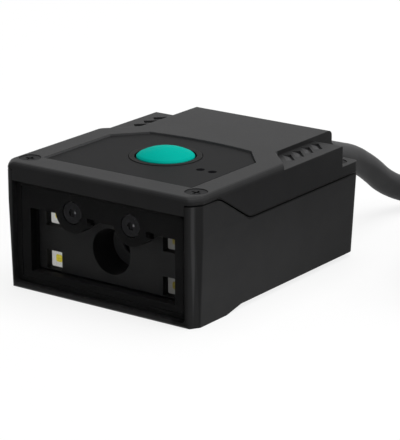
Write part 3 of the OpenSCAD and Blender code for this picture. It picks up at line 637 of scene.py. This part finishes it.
@dataclass(frozen=True)
class StripedFilm(Finish):
    """Amber film with copper lines along it."""

    colour: Colour = (0.36, 0.17, 0.03)
    copper: Colour = (0.55, 0.24, 0.08)
    roughness: float = 0.3
    wave_scale: float = 320.0
    haze_mm: float = 1.0
    haze_gloss: float = 0.2
    relief: Pair = (0.01, 0.5)

    def sockets(self, g: Graph) -> dict[str, Any]:
        """Sockets of the shader.

        Args:
            g: the material's graph.

        Returns:
            The sockets.
        """
        wave = g.node(
            "ShaderNodeTexWave", {"wave_type": "BANDS", "bands_direction": "X"},
            {"Vector": g.place(), "Scale": self.wave_scale, "Distortion": 0.0},
        )
        line = wave.band(0.5, 0.7)
        haze = g.noise(self.haze_mm)
        return {
            "Base Color": g.blend(self.colour, self.copper, line * 0.8 + haze * 0.1),
            "Roughness": self.roughness + haze * self.haze_gloss,
            "Normal": g.bump(line, *self.relief),
        }


@dataclass(frozen=True)
class LampBody(Finish):
    """White lamp package or its yellow emitter, with parts of painted shade; any glow is painted light, as
    the lamps are not lit.
    """

    shade: Colour
    roughness: float = 0.35
    glow: float = 0.0
    tones: tuple[Tone, ...] = ()
    edge_mm: float = 0.12
    grit_mm: float = 0.25
    grit_gloss: float = 0.2
    relief: Pair = (0.01, 0.4)

    def sockets(self, g: Graph) -> dict[str, Any]:
        """Sockets of the shader.

        Args:
            g: the material's graph.

        Returns:
            The sockets.
        """
        grit = g.noise(self.grit_mm)
        rounded = g.soft_edges(self.edge_mm)
        body = toned(g, g.blend(self.shade, self.colour, grit.band(0.3, 0.6)), self.shade, self.tones)
        return {
            "Base Color": body,
            "Roughness": self.roughness + grit.swing(self.grit_gloss),
            # The emission is painted light: the lamp is not lit.
            "Emission Color": body,
            "Emission Strength": self.glow,
            "Normal": g.bump(grit, *self.relief, rounded),
        }


@dataclass(frozen=True)
class CableJacket(Finish):
    """Soft cable jacket with faint drawing marks and scuffs."""

    roughness: float = 0.55
    specular: float = 0.22
    skin_mm: float = 0.35
    skin_gain: float = 1.5
    skin_gloss: float = 0.2
    scuff_mm: float = 9.0
    scuff_gains: Pair = (0.85, 1.2)
    relief: Pair = (0.03, 0.35)

    def sockets(self, g: Graph) -> dict[str, Any]:
        """Sockets of the shader.

        Args:
            g: the material's graph.

        Returns:
            The sockets.
        """
        skin = g.noise(self.skin_mm, 4)
        scuff = g.noise(self.scuff_mm, 5)
        body = self.shaded(g, *self.scuff_gains, scuff.spread(0.15))
        return {
            "Base Color": g.blend(body, tinted(self.colour, self.skin_gain), skin.band(0.6, 0.85) * 0.5),
            "Roughness": self.roughness + skin.swing(self.skin_gloss),
            "Specular IOR Level": self.specular,
            "Normal": g.bump(skin, *self.relief),
        }


@dataclass(frozen=True)
class WovenStrap(Finish):
    """Woven strap: two crossing sets of threads from the strap's own UV map."""

    roughness: float = 0.85
    specular: float = 0.15
    warp_scale: float = 40.0
    weft_scale: float = 4.0
    thread_gains: Pair = (0.6, 1.5)
    thread_gloss: float = 0.1
    relief: Pair = (0.08, 0.6)

    def sockets(self, g: Graph) -> dict[str, Any]:
        """Sockets of the shader.

        Args:
            g: the material's graph.

        Returns:
            The sockets.
        """
        uv = g.node("ShaderNodeTexCoord", output="UV")
        warp, weft = (
            g.node("ShaderNodeTexWave", {"bands_direction": way}, {"Vector": uv, "Scale": scale})
            for way, scale in (("X", self.warp_scale), ("Y", self.weft_scale))
        )
        weave = warp * weft + (1 - warp) * (1 - weft)
        return {
            "Base Color": self.shaded(g, *self.thread_gains, weave),
            "Roughness": self.roughness - weave * self.thread_gloss,
            "Specular IOR Level": self.specular,
            "Normal": g.bump(weave, *self.relief),
        }


def chip_plastic(name: str) -> MouldedPlastic:
    """Finish of a moulded chip."""
    return MouldedPlastic(name, grey(0.012, 0.002), roughness=0.5, specular=0.3, grain=(0.15, 0.006))


def cream_plastic(name: str) -> MouldedPlastic:
    """Finish of a pale connector."""
    return MouldedPlastic(name, (0.7, 0.66, 0.55), roughness=0.5, specular=0.4, grain=(0.3, 0.004))


def grid_piece(name: str, grid: np.ndarray, wrap_u: bool, wrap_v: bool) -> bpy.types.Object:
    """Makes a mesh from a grid of points: each four neighbours are a face.

    Args:
        name: the piece's name.
        grid: points as an array of rows, columns and X, Y, Z, in metres.
        wrap_u: the last row joins the first.
        wrap_v: the last column joins the first.

    Returns:
        The object, with its place in its mesh, a UV map and outward faces.
    """
    rows, columns = grid.shape[:2]
    u = np.arange(rows if wrap_u else rows - 1)
    v = np.arange(columns if wrap_v else columns - 1)
    a, b = np.meshgrid(u, v, indexing="ij")
    a2, b2 = (a + 1) % rows, (b + 1) % columns
    corners = [a * columns + b, a2 * columns + b, a2 * columns + b2, a * columns + b2]
    faces = np.stack(corners, -1).reshape(-1, 4)
    mesh = bpy.data.meshes.new(name)
    mesh.from_pydata(grid.reshape(-1, 3).tolist(), [], faces.tolist())
    corner_u = np.stack([a, a + 1, a + 1, a], -1).reshape(-1) / rows
    corner_v = np.stack([b, b, b + 1, b + 1], -1).reshape(-1) / columns
    layer = mesh.uv_layers.new(name="UVMap")
    layer.data.foreach_set("uv", np.stack([corner_u, corner_v], -1).reshape(-1).astype(np.float32))
    work = bmesh.new()
    work.from_mesh(mesh)
    bmesh.ops.remove_doubles(work, verts=work.verts, dist=WELD_M)
    bmesh.ops.recalc_face_normals(work, faces=work.faces)
    work.to_mesh(mesh)
    work.free()
    mesh.polygons.foreach_set("use_smooth", np.ones(len(mesh.polygons), bool))
    made = bpy.data.objects.new(name, mesh)
    bpy.context.scene.collection.objects.link(made)
    return made


def full_turn(count: int) -> np.ndarray:
    """Angles of one full turn, evenly spaced."""
    return np.linspace(0, 2 * np.pi, count, endpoint=False)


def squircle(turn: np.ndarray, power: Any) -> np.ndarray:
    """Radius of |a|^n + |b|^n = 1 at each angle: a circle for a power of 2, nearly a square for 10."""
    return (np.abs(np.cos(turn)) ** power + np.abs(np.sin(turn)) ** power) ** (-1 / power)


def eased(x: np.ndarray, low: float, high: float) -> np.ndarray:
    """Smooth step: 0 up to low, 1 from high, 3t^2 - 2t^3 between."""
    t = np.clip((x - low) / (high - low), 0, 1)
    return t * t * (3 - 2 * t)


def spline(points: np.ndarray, count: int) -> np.ndarray:
    """Smooth line through points: cubic pieces whose slope at a point follows its two neighbours.

    Args:
        points: the points, one row each.
        count: number of points wanted for each stretch.

    Returns:
        The points of the line, the last one included.
    """
    padded = np.vstack([2 * points[0] - points[1], points, 2 * points[-1] - points[-2]])
    p0, p1, p2, p3 = (padded[i: len(padded) - 3 + i, None, :] for i in range(4))
    pairs = ((p0, p1), (p1, p2), (p2, p3))
    d01, d12, d23 = (np.linalg.norm(q - p, axis=-1, keepdims=True) for p, q in pairs)
    m1 = d12 * ((p1 - p0) / d01 - (p2 - p0) / (d01 + d12) + (p2 - p1) / d12)
    m2 = d12 * ((p2 - p1) / d12 - (p3 - p1) / (d12 + d23) + (p3 - p2) / d23)
    t = (np.arange(count) / count)[None, :, None]
    line = (
        (2 * t**3 - 3 * t**2 + 1) * p1
        + (t**3 - 2 * t**2 + t) * m1
        + (3 * t**2 - 2 * t**3) * p2
        + (t**3 - t**2) * m2
    )
    return np.vstack([line.reshape(-1, 3), points[-1:]])


@dataclass
class Assembly:
    """A sub-assembly of the reader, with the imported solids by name."""

    nodes: dict[str, bpy.types.Object]

    def coat(self, finish: Finish, *names: str) -> None:
        """Gives solids a finish.

        Args:
            finish: the finish.
            names: the solids' names.
        """
        material = finish.material()
        for name in names:
            mesh = self.nodes[name].data
            mesh.materials.clear()
            mesh.materials.append(material)
            LOG.info("dressed %s in %s", name, material.name)

    def seat(self, piece: bpy.types.Object, material: bpy.types.Material, slot: str, *replaced: str) -> None:
        """Dresses a new piece and lets it ride on the reader, in the place of solids.

        Args:
            piece: the piece.
            material: its material.
            slot: a slot's name; not used.
            replaced: the solids that it stands for.
        """
        piece.data.materials.append(material)
        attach(piece, Body.READER.value)
        if replaced:
            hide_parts(*replaced)
        LOG.info("built %s in %s", piece.name, material.name)


@dataclass
class Cable(Assembly):
    """Round cable from the gland down to the floor, through its coil and up to the plug.

    Lengths are in millimetres. The coil's steps are the laps where it goes one ring or layer further.
    """

    diameter: float = 5.0
    round_steps: int = 6
    centre: Pair = (65.0, 38.5)
    rings: Point = (30.0, 25.0, 20.0)
    start_turn: float = 92.0
    end_lap: float = 7.74
    step_laps: float = 0.25
    steps_in: tuple[float, ...] = (0.74, 1.74, 5.74, 6.74)
    steps_out: tuple[float, ...] = (3.24, 4.24)
    steps_up: tuple[float, ...] = (2.49, 4.99, 7.49)
    lap_points: int = 40
    stretch_points: int = 6
    tie_angle: float = -68.0
    tie_width: float = 5.0
    tie_power: int = 10
    tie_points: int = 96
    tie_lowest: float = 0.02
    tie_section: tuple[Pair, ...] = (
        (-1, -0.5), (-1, 0.1), (-0.94, 0.3), (-0.5, 0.34), (0, 0.35), (0.5, 0.34), (0.94, 0.3),
        (1, 0.1), (1, -0.5), (0.94, -0.6), (0.5, -0.6), (0, -0.6), (-0.5, -0.6), (-0.94, -0.6),
    )
    lead: tuple[Point, ...] = (
        (10, 25.5, 16.4), (10, 30.5, 16.4), (10, 32, 16.2), (10, 34, 15.6), (10, 36.5, 14.8),
        (10, 39, 14), (10.15, 41.2, 13.1), (10.35, 43.1, 12), (10.6, 45.2, 10.7), (10.9, 47.4, 9.1),
        (11.2, 49.7, 7.3), (12, 52.5, 5.5), (13.5, 55.8, 4), (15.3, 58.8, 2.9), (17.5, 61.5, 2.5),
        (20.2, 63.7, 2.5), (23.2, 65.5, 2.5), (26.5, 66.7, 2.5), (30.9, 67.3, 2.5), (37, 67.6, 2.5),
        (43.5, 67.8, 2.5), (50, 68, 2.5), (57, 68.3, 2.5),
    )
    tail: tuple[Point, ...] = (
        (-20.5, 3.6, 17.7), (-20.3, 10.8, 17.9), (-17.8, 18.4, 18.2), (-12.3, 25.3, 18.5),
        (-6.1, 28.9, 18.7), (0, 30, 18.8), (7.6, 28.5, 18.9), (14.1, 24.1, 19), (18.5, 17.6, 19),
        (20, 10, 19), (20, 8, 19),
    )

    def steps(self, lap: np.ndarray, starts: Sequence[float]) -> np.ndarray:
        """Number of steps taken by each lap, each one eased."""
        return sum(eased(lap, start, start + self.step_laps) for start in starts)

    def coil_line(self) -> np.ndarray:
        """Line of the coil: three rings in layers one diameter apart, with eased steps between them.

        Returns:
            Points in millimetres.
        """
        lap = np.linspace(0, self.end_lap, int(self.end_lap * self.lap_points))
        inward = self.steps(lap, self.steps_in) - self.steps(lap, self.steps_out)
        radius = self.rings[0] - (self.rings[0] - self.rings[1]) * inward
        height = self.diameter * (0.5 + self.steps(lap, self.steps_up))
        turn = np.radians(self.start_turn - 360 * lap)
        x = self.centre[0] + radius * np.cos(turn)
        y = self.centre[1] + radius * np.sin(turn)
        return np.stack([x, y, height], -1)

    def line(self) -> np.ndarray:
        """The whole centre line: the lead, the coil and the tail, each smooth into the next.

        Returns:
            Points in millimetres.
        """
        coil = self.coil_line()
        count = self.stretch_points
        lead = spline(np.vstack([np.array(self.lead, float), coil[:2]]), count)[:-count - 1]
        tail = np.array(self.tail, float) + np.array([*self.centre, 0.0])
        end = spline(np.vstack([coil[-2:], tail]), count)[count:]
        return np.vstack([lead, coil[:-1], end])

    def build(self) -> bpy.types.Object:
        """Makes the cable as one open curve.

        Returns:
            The curve.
        """
        points = self.line() * MM
        curve = bpy.data.curves.new("cable", "CURVE")
        curve.dimensions = "3D"
        curve.bevel_depth = self.diameter * MM / 2
        curve.bevel_resolution = self.round_steps
        curve.use_fill_caps = True
        run = curve.splines.new("POLY")
        run.points.add(len(points) - 1)
        run.points.foreach_set("co", np.hstack([points, np.ones((len(points), 1))]).reshape(-1))
        run.use_smooth = True
        made = bpy.data.objects.new("cable", curve)
        bpy.context.scene.collection.objects.link(made)
        jacket = CableJacket("cable_jacket", grey(0.036, 0.001))
        self.seat(made, jacket.material(), "cable_jacket", "cable_lead", "cable_coil", "plug_lead")
        return made

    def length(self) -> float:
        """Length of the centre line, in metres."""
        return float(np.linalg.norm(np.diff(self.line(), axis=0), axis=1).sum() * MM)

    def build_tie(self) -> bpy.types.Object:
        """Makes the tie: a rounded square loop about the coil's section, carried over the tie's width.

        The loop is |a|^10 + |b|^10 = 1 scaled to the section, and it is drawn in at the strap's two edges.

        Returns:
            The tie.
        """
        reach = (self.rings[0] - self.rings[2]) / 2 + self.diameter / 2
        turn = full_turn(self.tie_points)
        size = squircle(turn, self.tie_power)
        side, lift = np.array(self.tie_section, float).T
        out = reach + lift[:, None]
        radial = self.rings[1] + out * (size * np.cos(turn))[None, :]
        height = np.clip(reach + out * (size * np.sin(turn))[None, :], self.tie_lowest, None)
        along = np.broadcast_to(side[:, None] * self.tie_width / 2, radial.shape)
        angle = math.radians(self.tie_angle)
        x = self.centre[0] + radial * math.cos(angle) - along * math.sin(angle)
        y = self.centre[1] + radial * math.sin(angle) + along * math.cos(angle)
        made = grid_piece("coil_tie", np.stack([x, y, height], -1) * MM, True, True)
        self.seat(made, WovenStrap("strap", grey(0.012)).material(), "tie_black", "cable_tie")
        return made

    def dress(self) -> None:
        """Dresses the gland and the wires inside the case."""
        rubber = MouldedPlastic("gland_rubber", grey(0.014), roughness=0.7, specular=0.12, grain=(0.3, 0.02))
        self.coat(rubber, "cable_gland")
        self.coat(CableJacket("wire_skin", grey(0.02, 0.001)), "inner_wires")

    def declare(self, cord: bpy.types.Object, *carried: bpy.types.Object) -> None:
        """Args:
            cord: the cable's curve; not used.
            carried: the pieces on it; not used.
        """
        round(self.length(), 3)
        LOG.info("cable %.3f m", self.length())


@dataclass
class Plug(Assembly):
    """Moulded plug body over a flat metal shell.

    Lengths are in millimetres. A station is a share of the length, and how far the section is drawn in there.
    """

    start: Point = (85.0, 46.5, 19.0)
    length: float = 20.5
    width: float = 15.5
    height: float = 8.0
    neck_r: float = 3.1
    grow_span: Pair = (0.2, 0.42)
    rib_span: Pair = (0.05, 0.22)
    rib_pitch: float = 0.08
    rib_height: float = 0.25
    neck_power: float = 2.0
    body_power: float = 5.0
    section_points: int = 64
    stations: tuple[Pair, ...] = (
        (0, 1), (0, 0), (0.02, 0), (0.08, 0), (0.12, 0), (0.16, 0), (0.2, 0), (0.24, 0), (0.3, 0),
        (0.36, 0), (0.42, 0), (0.5, 0), (0.9, 0), (0.96, 0.02), (0.99, 0.06), (1, 0.14), (1, 0.5), (1, 1),
    )

    def build(self) -> bpy.types.Object:
        """Makes the moulded body: a superellipse section whose size and squareness grow from the neck.

        Each section is |x/a|^n + |z/b|^n = 1, carried against Y, with ribs as a cosine along the neck.

        Returns:
            The body.
        """
        t, drawn_in = np.array(self.stations, float).T[:, :, None]
        grow = eased(t, *self.grow_span)
        ribbed = (t > self.rib_span[0]) & (t < self.rib_span[1])
        neck = self.neck_r + np.where(ribbed, self.rib_height * np.cos(2 * np.pi * t / self.rib_pitch), 0.0)
        half_w = (neck + (self.width / 2 - self.neck_r) * grow) * (1 - drawn_in)
        half_h = (neck + (self.height / 2 - self.neck_r) * grow) * (1 - drawn_in)
        turn = full_turn(self.section_points)[None, :]
        size = squircle(turn, self.neck_power + (self.body_power - self.neck_power) * grow)
        x = self.start[0] + half_w * size * np.cos(turn)
        y = np.broadcast_to(self.start[1] - self.length * t, size.shape)
        z = self.start[2] + half_h * size * np.sin(turn)
        made = grid_piece("plug_moulding", np.stack([x, y, z], -1) * MM, False, True)
        finish = MouldedPlastic("plug_moulding", grey(0.014), roughness=0.55)
        self.seat(made, finish.material(), "plug_plastic", "plug_body")
        return made

    def dress(self) -> None:
        """Dresses the shell and the tongue inside it."""
        self.coat(Metal("plug_steel", grey(0.55, 0.01), roughness=0.25, stretch=(0.2, 4, 4)), "plug_shell")
        self.coat(cream_plastic("tongue_cream"), "plug_tongue")


@dataclass
class Housing(Assembly):
    """Bottom tray with the inserts in its underside."""

    # Painted shade over the inside walls.
    inside: ToneBox = ToneBox((-19.2, -23.6, 1.5), (19.2, 23.7, 40.0), 0.45)
    # Painted highlight down the front corners.
    corners: ToneBox = ToneBox((19.88, -26.0, -1.0), (20.0, -24.6, 25.0), 2.2, 0.25, mirrored=True)
    # Painted shade on the front rim, darker towards the window.
    rim: ToneBox = ToneBox((16.5, -26.0, -1.0), (18.4, -25.2, 25.0), 0.15, 1.2)
    # Painted shade on the slanted front faces beside the corners.
    facet_shade: ToneBox = ToneBox((20.35, -24.8, -1.0), (22.0, -23.5, 25.0), 0.68, 0.15, mirrored=True)
    seam: SeamLine = SeamLine()

    def dress(self) -> None:
        """Dresses the tray, with painted highlights down its front corners, painted shade along its seam, on
        its front rim, on its slanted front faces and over its inside, and the inserts.
        """
        plastic = MouldedPlastic(
            "housing_plastic", grey(0.025, 0.0005), roughness=0.5, specular=0.06, edge_mm=0.3, edge_rub_and_highlight=1.1,
            tones=(self.rim, self.facet_shade, self.corners, self.inside, self.seam),
        )
        self.coat(plastic, "bottom_housing")
        brass = Metal("insert_brass", (0.62, 0.45, 0.16), roughness=0.3, stretch=(1, 1, 0.2))
        self.coat(brass, "mount_inserts")


@dataclass
class Lid(Assembly):
    """Top cover with its label panel, light pipes and screws."""

    edge: float = 0.2
    seam: SeamLine = SeamLine()
    # Painted light on the walls about the label, which lie in shade.
    recess_light: tuple[ToneBox, ...] = (
        ToneBox((-17.0, -2.0, 22.0), (15.0, 7.5, 22.94), 5.0, 0.05),
        ToneBox((-17.0, -20.5, 22.0), (-15.5, -2.0, 22.94), 5.0, 0.05),
    )
    # Painted light in the grooves of the side strips, over the shade on their walls and floors.
    slot_light: tuple[ToneBox, ...] = (
        ToneBox((15.2, 6.0, 21.0), (20.0, 20.5, 22.0), 2.4, 0.05),
        ToneBox((15.2, 6.0, 21.0), (20.0, 20.5, 21.7), 4.4, 0.15),
        ToneBox((-20.0, 6.0, 21.0), (-15.2, 20.5, 22.0), 2.0, 0.05),
    )

    def dress(self) -> None:
        """Dresses the cover, with painted shade along its seam, painted light on the walls about the label
        and in the grooves of its side strips, and what is set into it.
        """
        cover = MouldedPlastic(
            "cover_plastic", grey(0.019, 0.0005), roughness=0.45, specular=0.06,
            edge_mm=self.edge, edge_rub_and_highlight=1.2, tones=(*self.recess_light, *self.slot_light, self.seam),
        )
        self.coat(cover, "top_cover")
        self.coat(LabelFilm("label_film", grey(0.016, 0.0005), roughness=0.6, specular=0.025), "label_panel")
        pipe = MouldedPlastic(
            "light_pipe", grey(0.008, 0.001), roughness=0.5, specular=0.0, grain=(0.2, 0.001)
        )
        self.coat(pipe, "indicator_pipes")
        self.coat(Metal("screw_black", grey(0.032, 0.001), roughness=0.5, rim=0.55), "cover_screws")


@dataclass
class PushButton(Assembly):
    """Domed push button in its trim ring."""

    edge: float = 0.3

    def dress(self) -> None:
        """Dresses the cap and the ring."""
        cap = MouldedPlastic(
            "button_teal", (0.0, 0.4, 0.325), roughness=0.6, specular=0.015, grain=(0.3, 0.004),
            mottling=0.03, edge_mm=self.edge, edge_rub_and_highlight=1.1,
        )
        self.coat(cap, "button_cap")
        trim = MouldedPlastic("trim_black", grey(0.017), roughness=0.6, specular=0.03, grain=(0.2, 0.004))
        self.coat(trim, "button_ring")


@dataclass
class Window(Assembly):
    """Clear pane, its seal and the bezel behind it."""

    # Painted shade on the bezel's wall at its far end.
    far_wall_shade: ToneBox = ToneBox((-15.9, -24.1, 2.0), (-15.5, -22.0, 17.0), 0.1, 0.04)

    def dress(self) -> None:
        """Dresses the pane, the seal and the bezel, with painted shade on the wall at its far end."""
        self.coat(ClearPane("window_clear"), "front_window")
        foam = MouldedPlastic("seal_foam", grey(0.014), roughness=0.9, specular=0.05, grain=(0.3, 0.05))
        self.coat(foam, "window_seal")
        bezel = MouldedPlastic(
            "bezel_black", grey(0.0145), roughness=0.5, specular=0.02, grain=(0.2, 0.003),
            tones=(self.far_wall_shade,),
        )
        self.coat(bezel, "front_bezel")


@dataclass
class Engine(Assembly):
    """Camera engine: frame, lens, four lamps, sensor and board, in millimetres."""

    lamp_columns: Pair = (-12.8, 12.8)
    lamp_rows: Pair = (5.05, 13.05)
    lamp_face: float = -20.0
    emitter_half: float = 0.7
    emitter_dome: float = 0.15
    emitter_power: int = 4
    emitter_rings: int = 9
    emitter_points: int = 48
    # The lamps' glow is painted light: they are not lit.
    glow: float = 0.4
    # Painted shade over the frame behind its face: pockets, bore and sides.
    behind: ToneBox = ToneBox((-17.0, -21.15, 0.0), (17.0, -11.0, 20.0), 0.16)
    # Painted shade on the right pair of lamps.
    right_pair_shade: ToneBox = ToneBox((5.0, -25.0, 0.0), (20.0, -15.0, 20.0), 0.2)
    # Painted glints on the floors of the screws' sockets.
    sockets: tuple[ToneBox, ...] = tuple(
        ToneBox((x, -23.7, 15.45), (x + 0.2, -22.0, 15.7), 12.0, 0.15) for x in (-6.2, 6.5)
    )

    def build(self) -> None:
        """Makes each lamp's emitter: a superellipse pad whose height falls from the middle as 1 - r^2."""
        r = np.linspace(0, 1, self.emitter_rings)[:, None]
        turn = full_turn(self.emitter_points)[None, :]
        out = self.emitter_half * r * squircle(turn, self.emitter_power)
        phosphor = LampBody(
            "lamp_phosphor", (0.85, 0.72, 0.06), (0.6, 0.5, 0.05), roughness=0.3, glow=self.glow,
            tones=(self.right_pair_shade,),
        ).material()
        places = [(column, row) for column in self.lamp_columns for row in self.lamp_rows]
        for number, (column, row) in enumerate(places):
            x = column + out * np.cos(turn)
            z = row + out * np.sin(turn)
            y = self.lamp_face - self.emitter_dome * (1 - r**2) * np.ones_like(turn)
            top = np.stack([x, y, z], -1)
            base = np.stack([x, np.full_like(x, self.lamp_face), z], -1)[::-1]
            piece = grid_piece(f"emitter_{number}", np.vstack([top, base]) * MM, False, True)
            self.seat(piece, phosphor, "lamp_phosphor", *(["lamp_emitters"] if number == 0 else []))

    def dress(self) -> None:
        """Dresses the frame, with painted shade behind its face, and all that it carries."""
        plate = MouldedPlastic(
            "engine_plastic", grey(0.042), roughness=0.6, specular=0.05, tones=(self.behind,)
        )
        self.coat(plate, "engine_frame")
        barrel = MouldedPlastic("barrel_black", grey(0.07), roughness=0.6, specular=0.05, grain=(0.15, 0.006))
        self.coat(barrel, "lens_barrel")
        # These screws' bright edges and socket floors are painted glints.
        screw = Metal(
            "engine_screw_black", grey(0.02, 0.001), roughness=0.5, edge_rub_and_highlight=5.0, rim=0.3, tones=self.sockets
        )
        self.coat(screw, "engine_screws")
        self.coat(LensGlass("lens_glass"), "lens_glass")
        lamp = LampBody(
            "lamp_white", (0.85, 0.85, 0.82), (0.72, 0.72, 0.69), glow=self.glow, tones=(self.right_pair_shade,)
        )
        self.coat(lamp, "illumination_lamps")
        self.coat(chip_plastic("sensor_black"), "image_sensor")
        self.coat(CircuitBoard("engine_board_green"), "engine_board")


@dataclass
class Electronics(Assembly):
    """Boards, chips and connectors inside the case."""

    def dress(self) -> None:
        """Dresses the boards and what is on them."""
        self.coat(CircuitBoard("board_green"), "main_board", "button_board")
        self.coat(chip_plastic("chip_black"), "decoder_chip", "memory_chip", "beeper", "push_switch")
        self.coat(LampBody("indicator_white", (0.85, 0.85, 0.8), (0.7, 0.7, 0.66)), "indicator_lamps")
        self.coat(StripedFilm("flex_amber"), "flex_ribbon")
        self.coat(cream_plastic("connector_cream"), "flex_connectors", "cable_header")
        tan = MouldedPlastic("capacitor_tan", (0.3, 0.18, 0.08), roughness=0.5, specular=0.4)
        self.coat(tan, "capacitors")
        self.coat(Metal("screw_steel", grey(0.3, 0.01)), "board_screws", "button_board_screws")


def turned(right: np.ndarray, back: np.ndarray, place: Sequence[float]) -> Matrix:
    """Matrix of a camera or lamp, whose up axis is square to the other two.

    Args:
        right: its right axis.
        back: the axis that points away from what it faces.
        place: where it stands, in metres.

    Returns:
        The matrix.
    """
    turn = np.eye(4)
    turn[:3, :] = np.stack([right, np.cross(back, right), back, place], -1)
    return Matrix(turn.tolist())


@dataclass(frozen=True)
class SoftLamp:
    """Square soft lamp that faces the origin, in metres and watts."""

    name: str
    place: Point
    size: float
    power: float

    def add(self) -> None:
        """Puts the lamp into the scene."""
        data = bpy.data.lights.new(self.name, "AREA")
        data.shape = "SQUARE"
        data.size = self.size
        data.energy = self.power
        made = bpy.data.objects.new(self.name, data)
        back = np.array(self.place) / np.linalg.norm(self.place)
        right = np.cross((0.0, 1.0, 0.0) if abs(back[2]) > STEEP else (0.0, 0.0, 1.0), back)
        made.matrix_world = turned(right / np.linalg.norm(right), back, self.place)
        made.visible_camera = False
        bpy.context.scene.collection.objects.link(made)


@dataclass
class Studio:
    """Pale floor, soft lamps and the camera."""

    azimuth: float = 35.733
    elevation: float = 17.375
    focal_px: float = 2267.08
    image_width_px: int = 400
    eye: Point = (230.042, -314.85, 131.408)
    sensor: float = 36.0
    clip: Pair = (0.01, 50.0)
    floor_reach: float = 6.0
    floor_glow: float = 0.82
    floor_level: float = 0.45
    fleck_mm: float = 40.0
    fleck_level: float = 0.98
    sky_level: float = 0.3
    lamps: tuple[SoftLamp, ...] = (
        SoftLamp("overhead", (0.1, 0.2, 1.0), 0.9, 8.6),
        SoftLamp("right", (1.0, 0.25, 0.5), 0.5, 3.8),
    )

    def camera(self) -> None:
        """Places the camera at the photograph's viewpoint."""
        a, e = math.radians(self.azimuth), math.radians(self.elevation)
        back = np.array([math.sin(a) * math.cos(e), -math.cos(a) * math.cos(e), math.sin(e)])
        right = np.array([math.cos(a), math.sin(a), 0.0])
        data = bpy.data.cameras.new("camera")
        data.sensor_fit = "HORIZONTAL"
        data.sensor_width = self.sensor
        data.lens = self.focal_px / self.image_width_px * self.sensor
        data.clip_start, data.clip_end = self.clip
        made = bpy.data.objects.new("camera", data)
        made.matrix_world = turned(right, back, np.array(self.eye) * MM)
        bpy.context.scene.collection.objects.link(made)
        bpy.context.scene.camera = made

    def seen(self, g: Graph) -> Value:
        """1 for rays that show the pale studio, 0 for rays that only carry light."""
        flags = [g.node("ShaderNodeLightPath", output=ray.value) for ray in Ray]
        return flags[0].most(flags[1]).most(flags[2])

    def floor(self) -> None:
        """Makes the floor: white where it is seen, greyer as a source of light."""
        made, g = new_material("studio_floor")
        flecks = g.blend(grey(self.fleck_level), grey(1.0), g.noise(self.fleck_mm, 2))
        matt = g.node("ShaderNodeBsdfDiffuse", {}, {"Color": flecks}, "BSDF")
        glow = g.node("ShaderNodeEmission", {}, {"Color": grey(1.0), "Strength": 1.0}, "Emission")
        white = g.node("ShaderNodeMixShader", {}, {0: self.floor_glow, 1: matt, 2: glow}, "Shader")
        dim = g.node("ShaderNodeBsdfDiffuse", {}, {"Color": grey(self.floor_level)}, "BSDF")
        mixed = g.node("ShaderNodeMixShader", {}, {0: self.seen(g), 1: dim, 2: white}, "Shader")
        g.node("ShaderNodeOutputMaterial", {}, {"Surface": mixed})
        reach = np.array([-self.floor_reach, self.floor_reach])
        x, y = np.meshgrid(reach, reach, indexing="ij")
        floor = grid_piece("floor", np.stack([x, y, np.zeros_like(x)], -1), False, False)
        floor.data.materials.append(made)

    def world(self) -> None:
        """Makes the surrounding: white where it is seen, dim as a source of light."""
        world = bpy.data.worlds.new("studio")
        world.use_nodes = True
        bpy.context.scene.world = world
        g = Graph(world.node_tree)
        strength = self.sky_level + self.seen(g) * (1 - self.sky_level)
        sky = g.node("ShaderNodeBackground", {}, {"Color": grey(1.0), "Strength": strength}, "Background")
        g.node("ShaderNodeOutputWorld", {}, {"Surface": sky})

    def light(self) -> None:
        """Adds the lamps: a broad one overhead and a weaker one to the right."""
        for lamp in self.lamps:
            lamp.add()


def main() -> None:
    """Builds and dresses the reader."""
    logging.basicConfig(level=logging.INFO)
    scene = bpy.context.scene
    scene.view_settings.view_transform = "Standard"
    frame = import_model()

    nodes = frame["nodes"]
    studio = Studio()
    studio.camera()

    cable, plug = Cable(nodes), Plug(nodes)
    cord, tie, moulding = cable.build(), cable.build_tie(), plug.build()
    cable.declare(cord, moulding, tie, nodes["plug_shell"], nodes["plug_tongue"])
    cable.dress()
    plug.dress()

    engine = Engine(nodes)
    engine.build()
    engine.dress()
    for assembly in (Housing(nodes), Lid(nodes), PushButton(nodes), Window(nodes), Electronics(nodes)):
        assembly.dress()

    studio.floor()
    studio.world()
    studio.light()


if __name__ == "__main__":
    main()
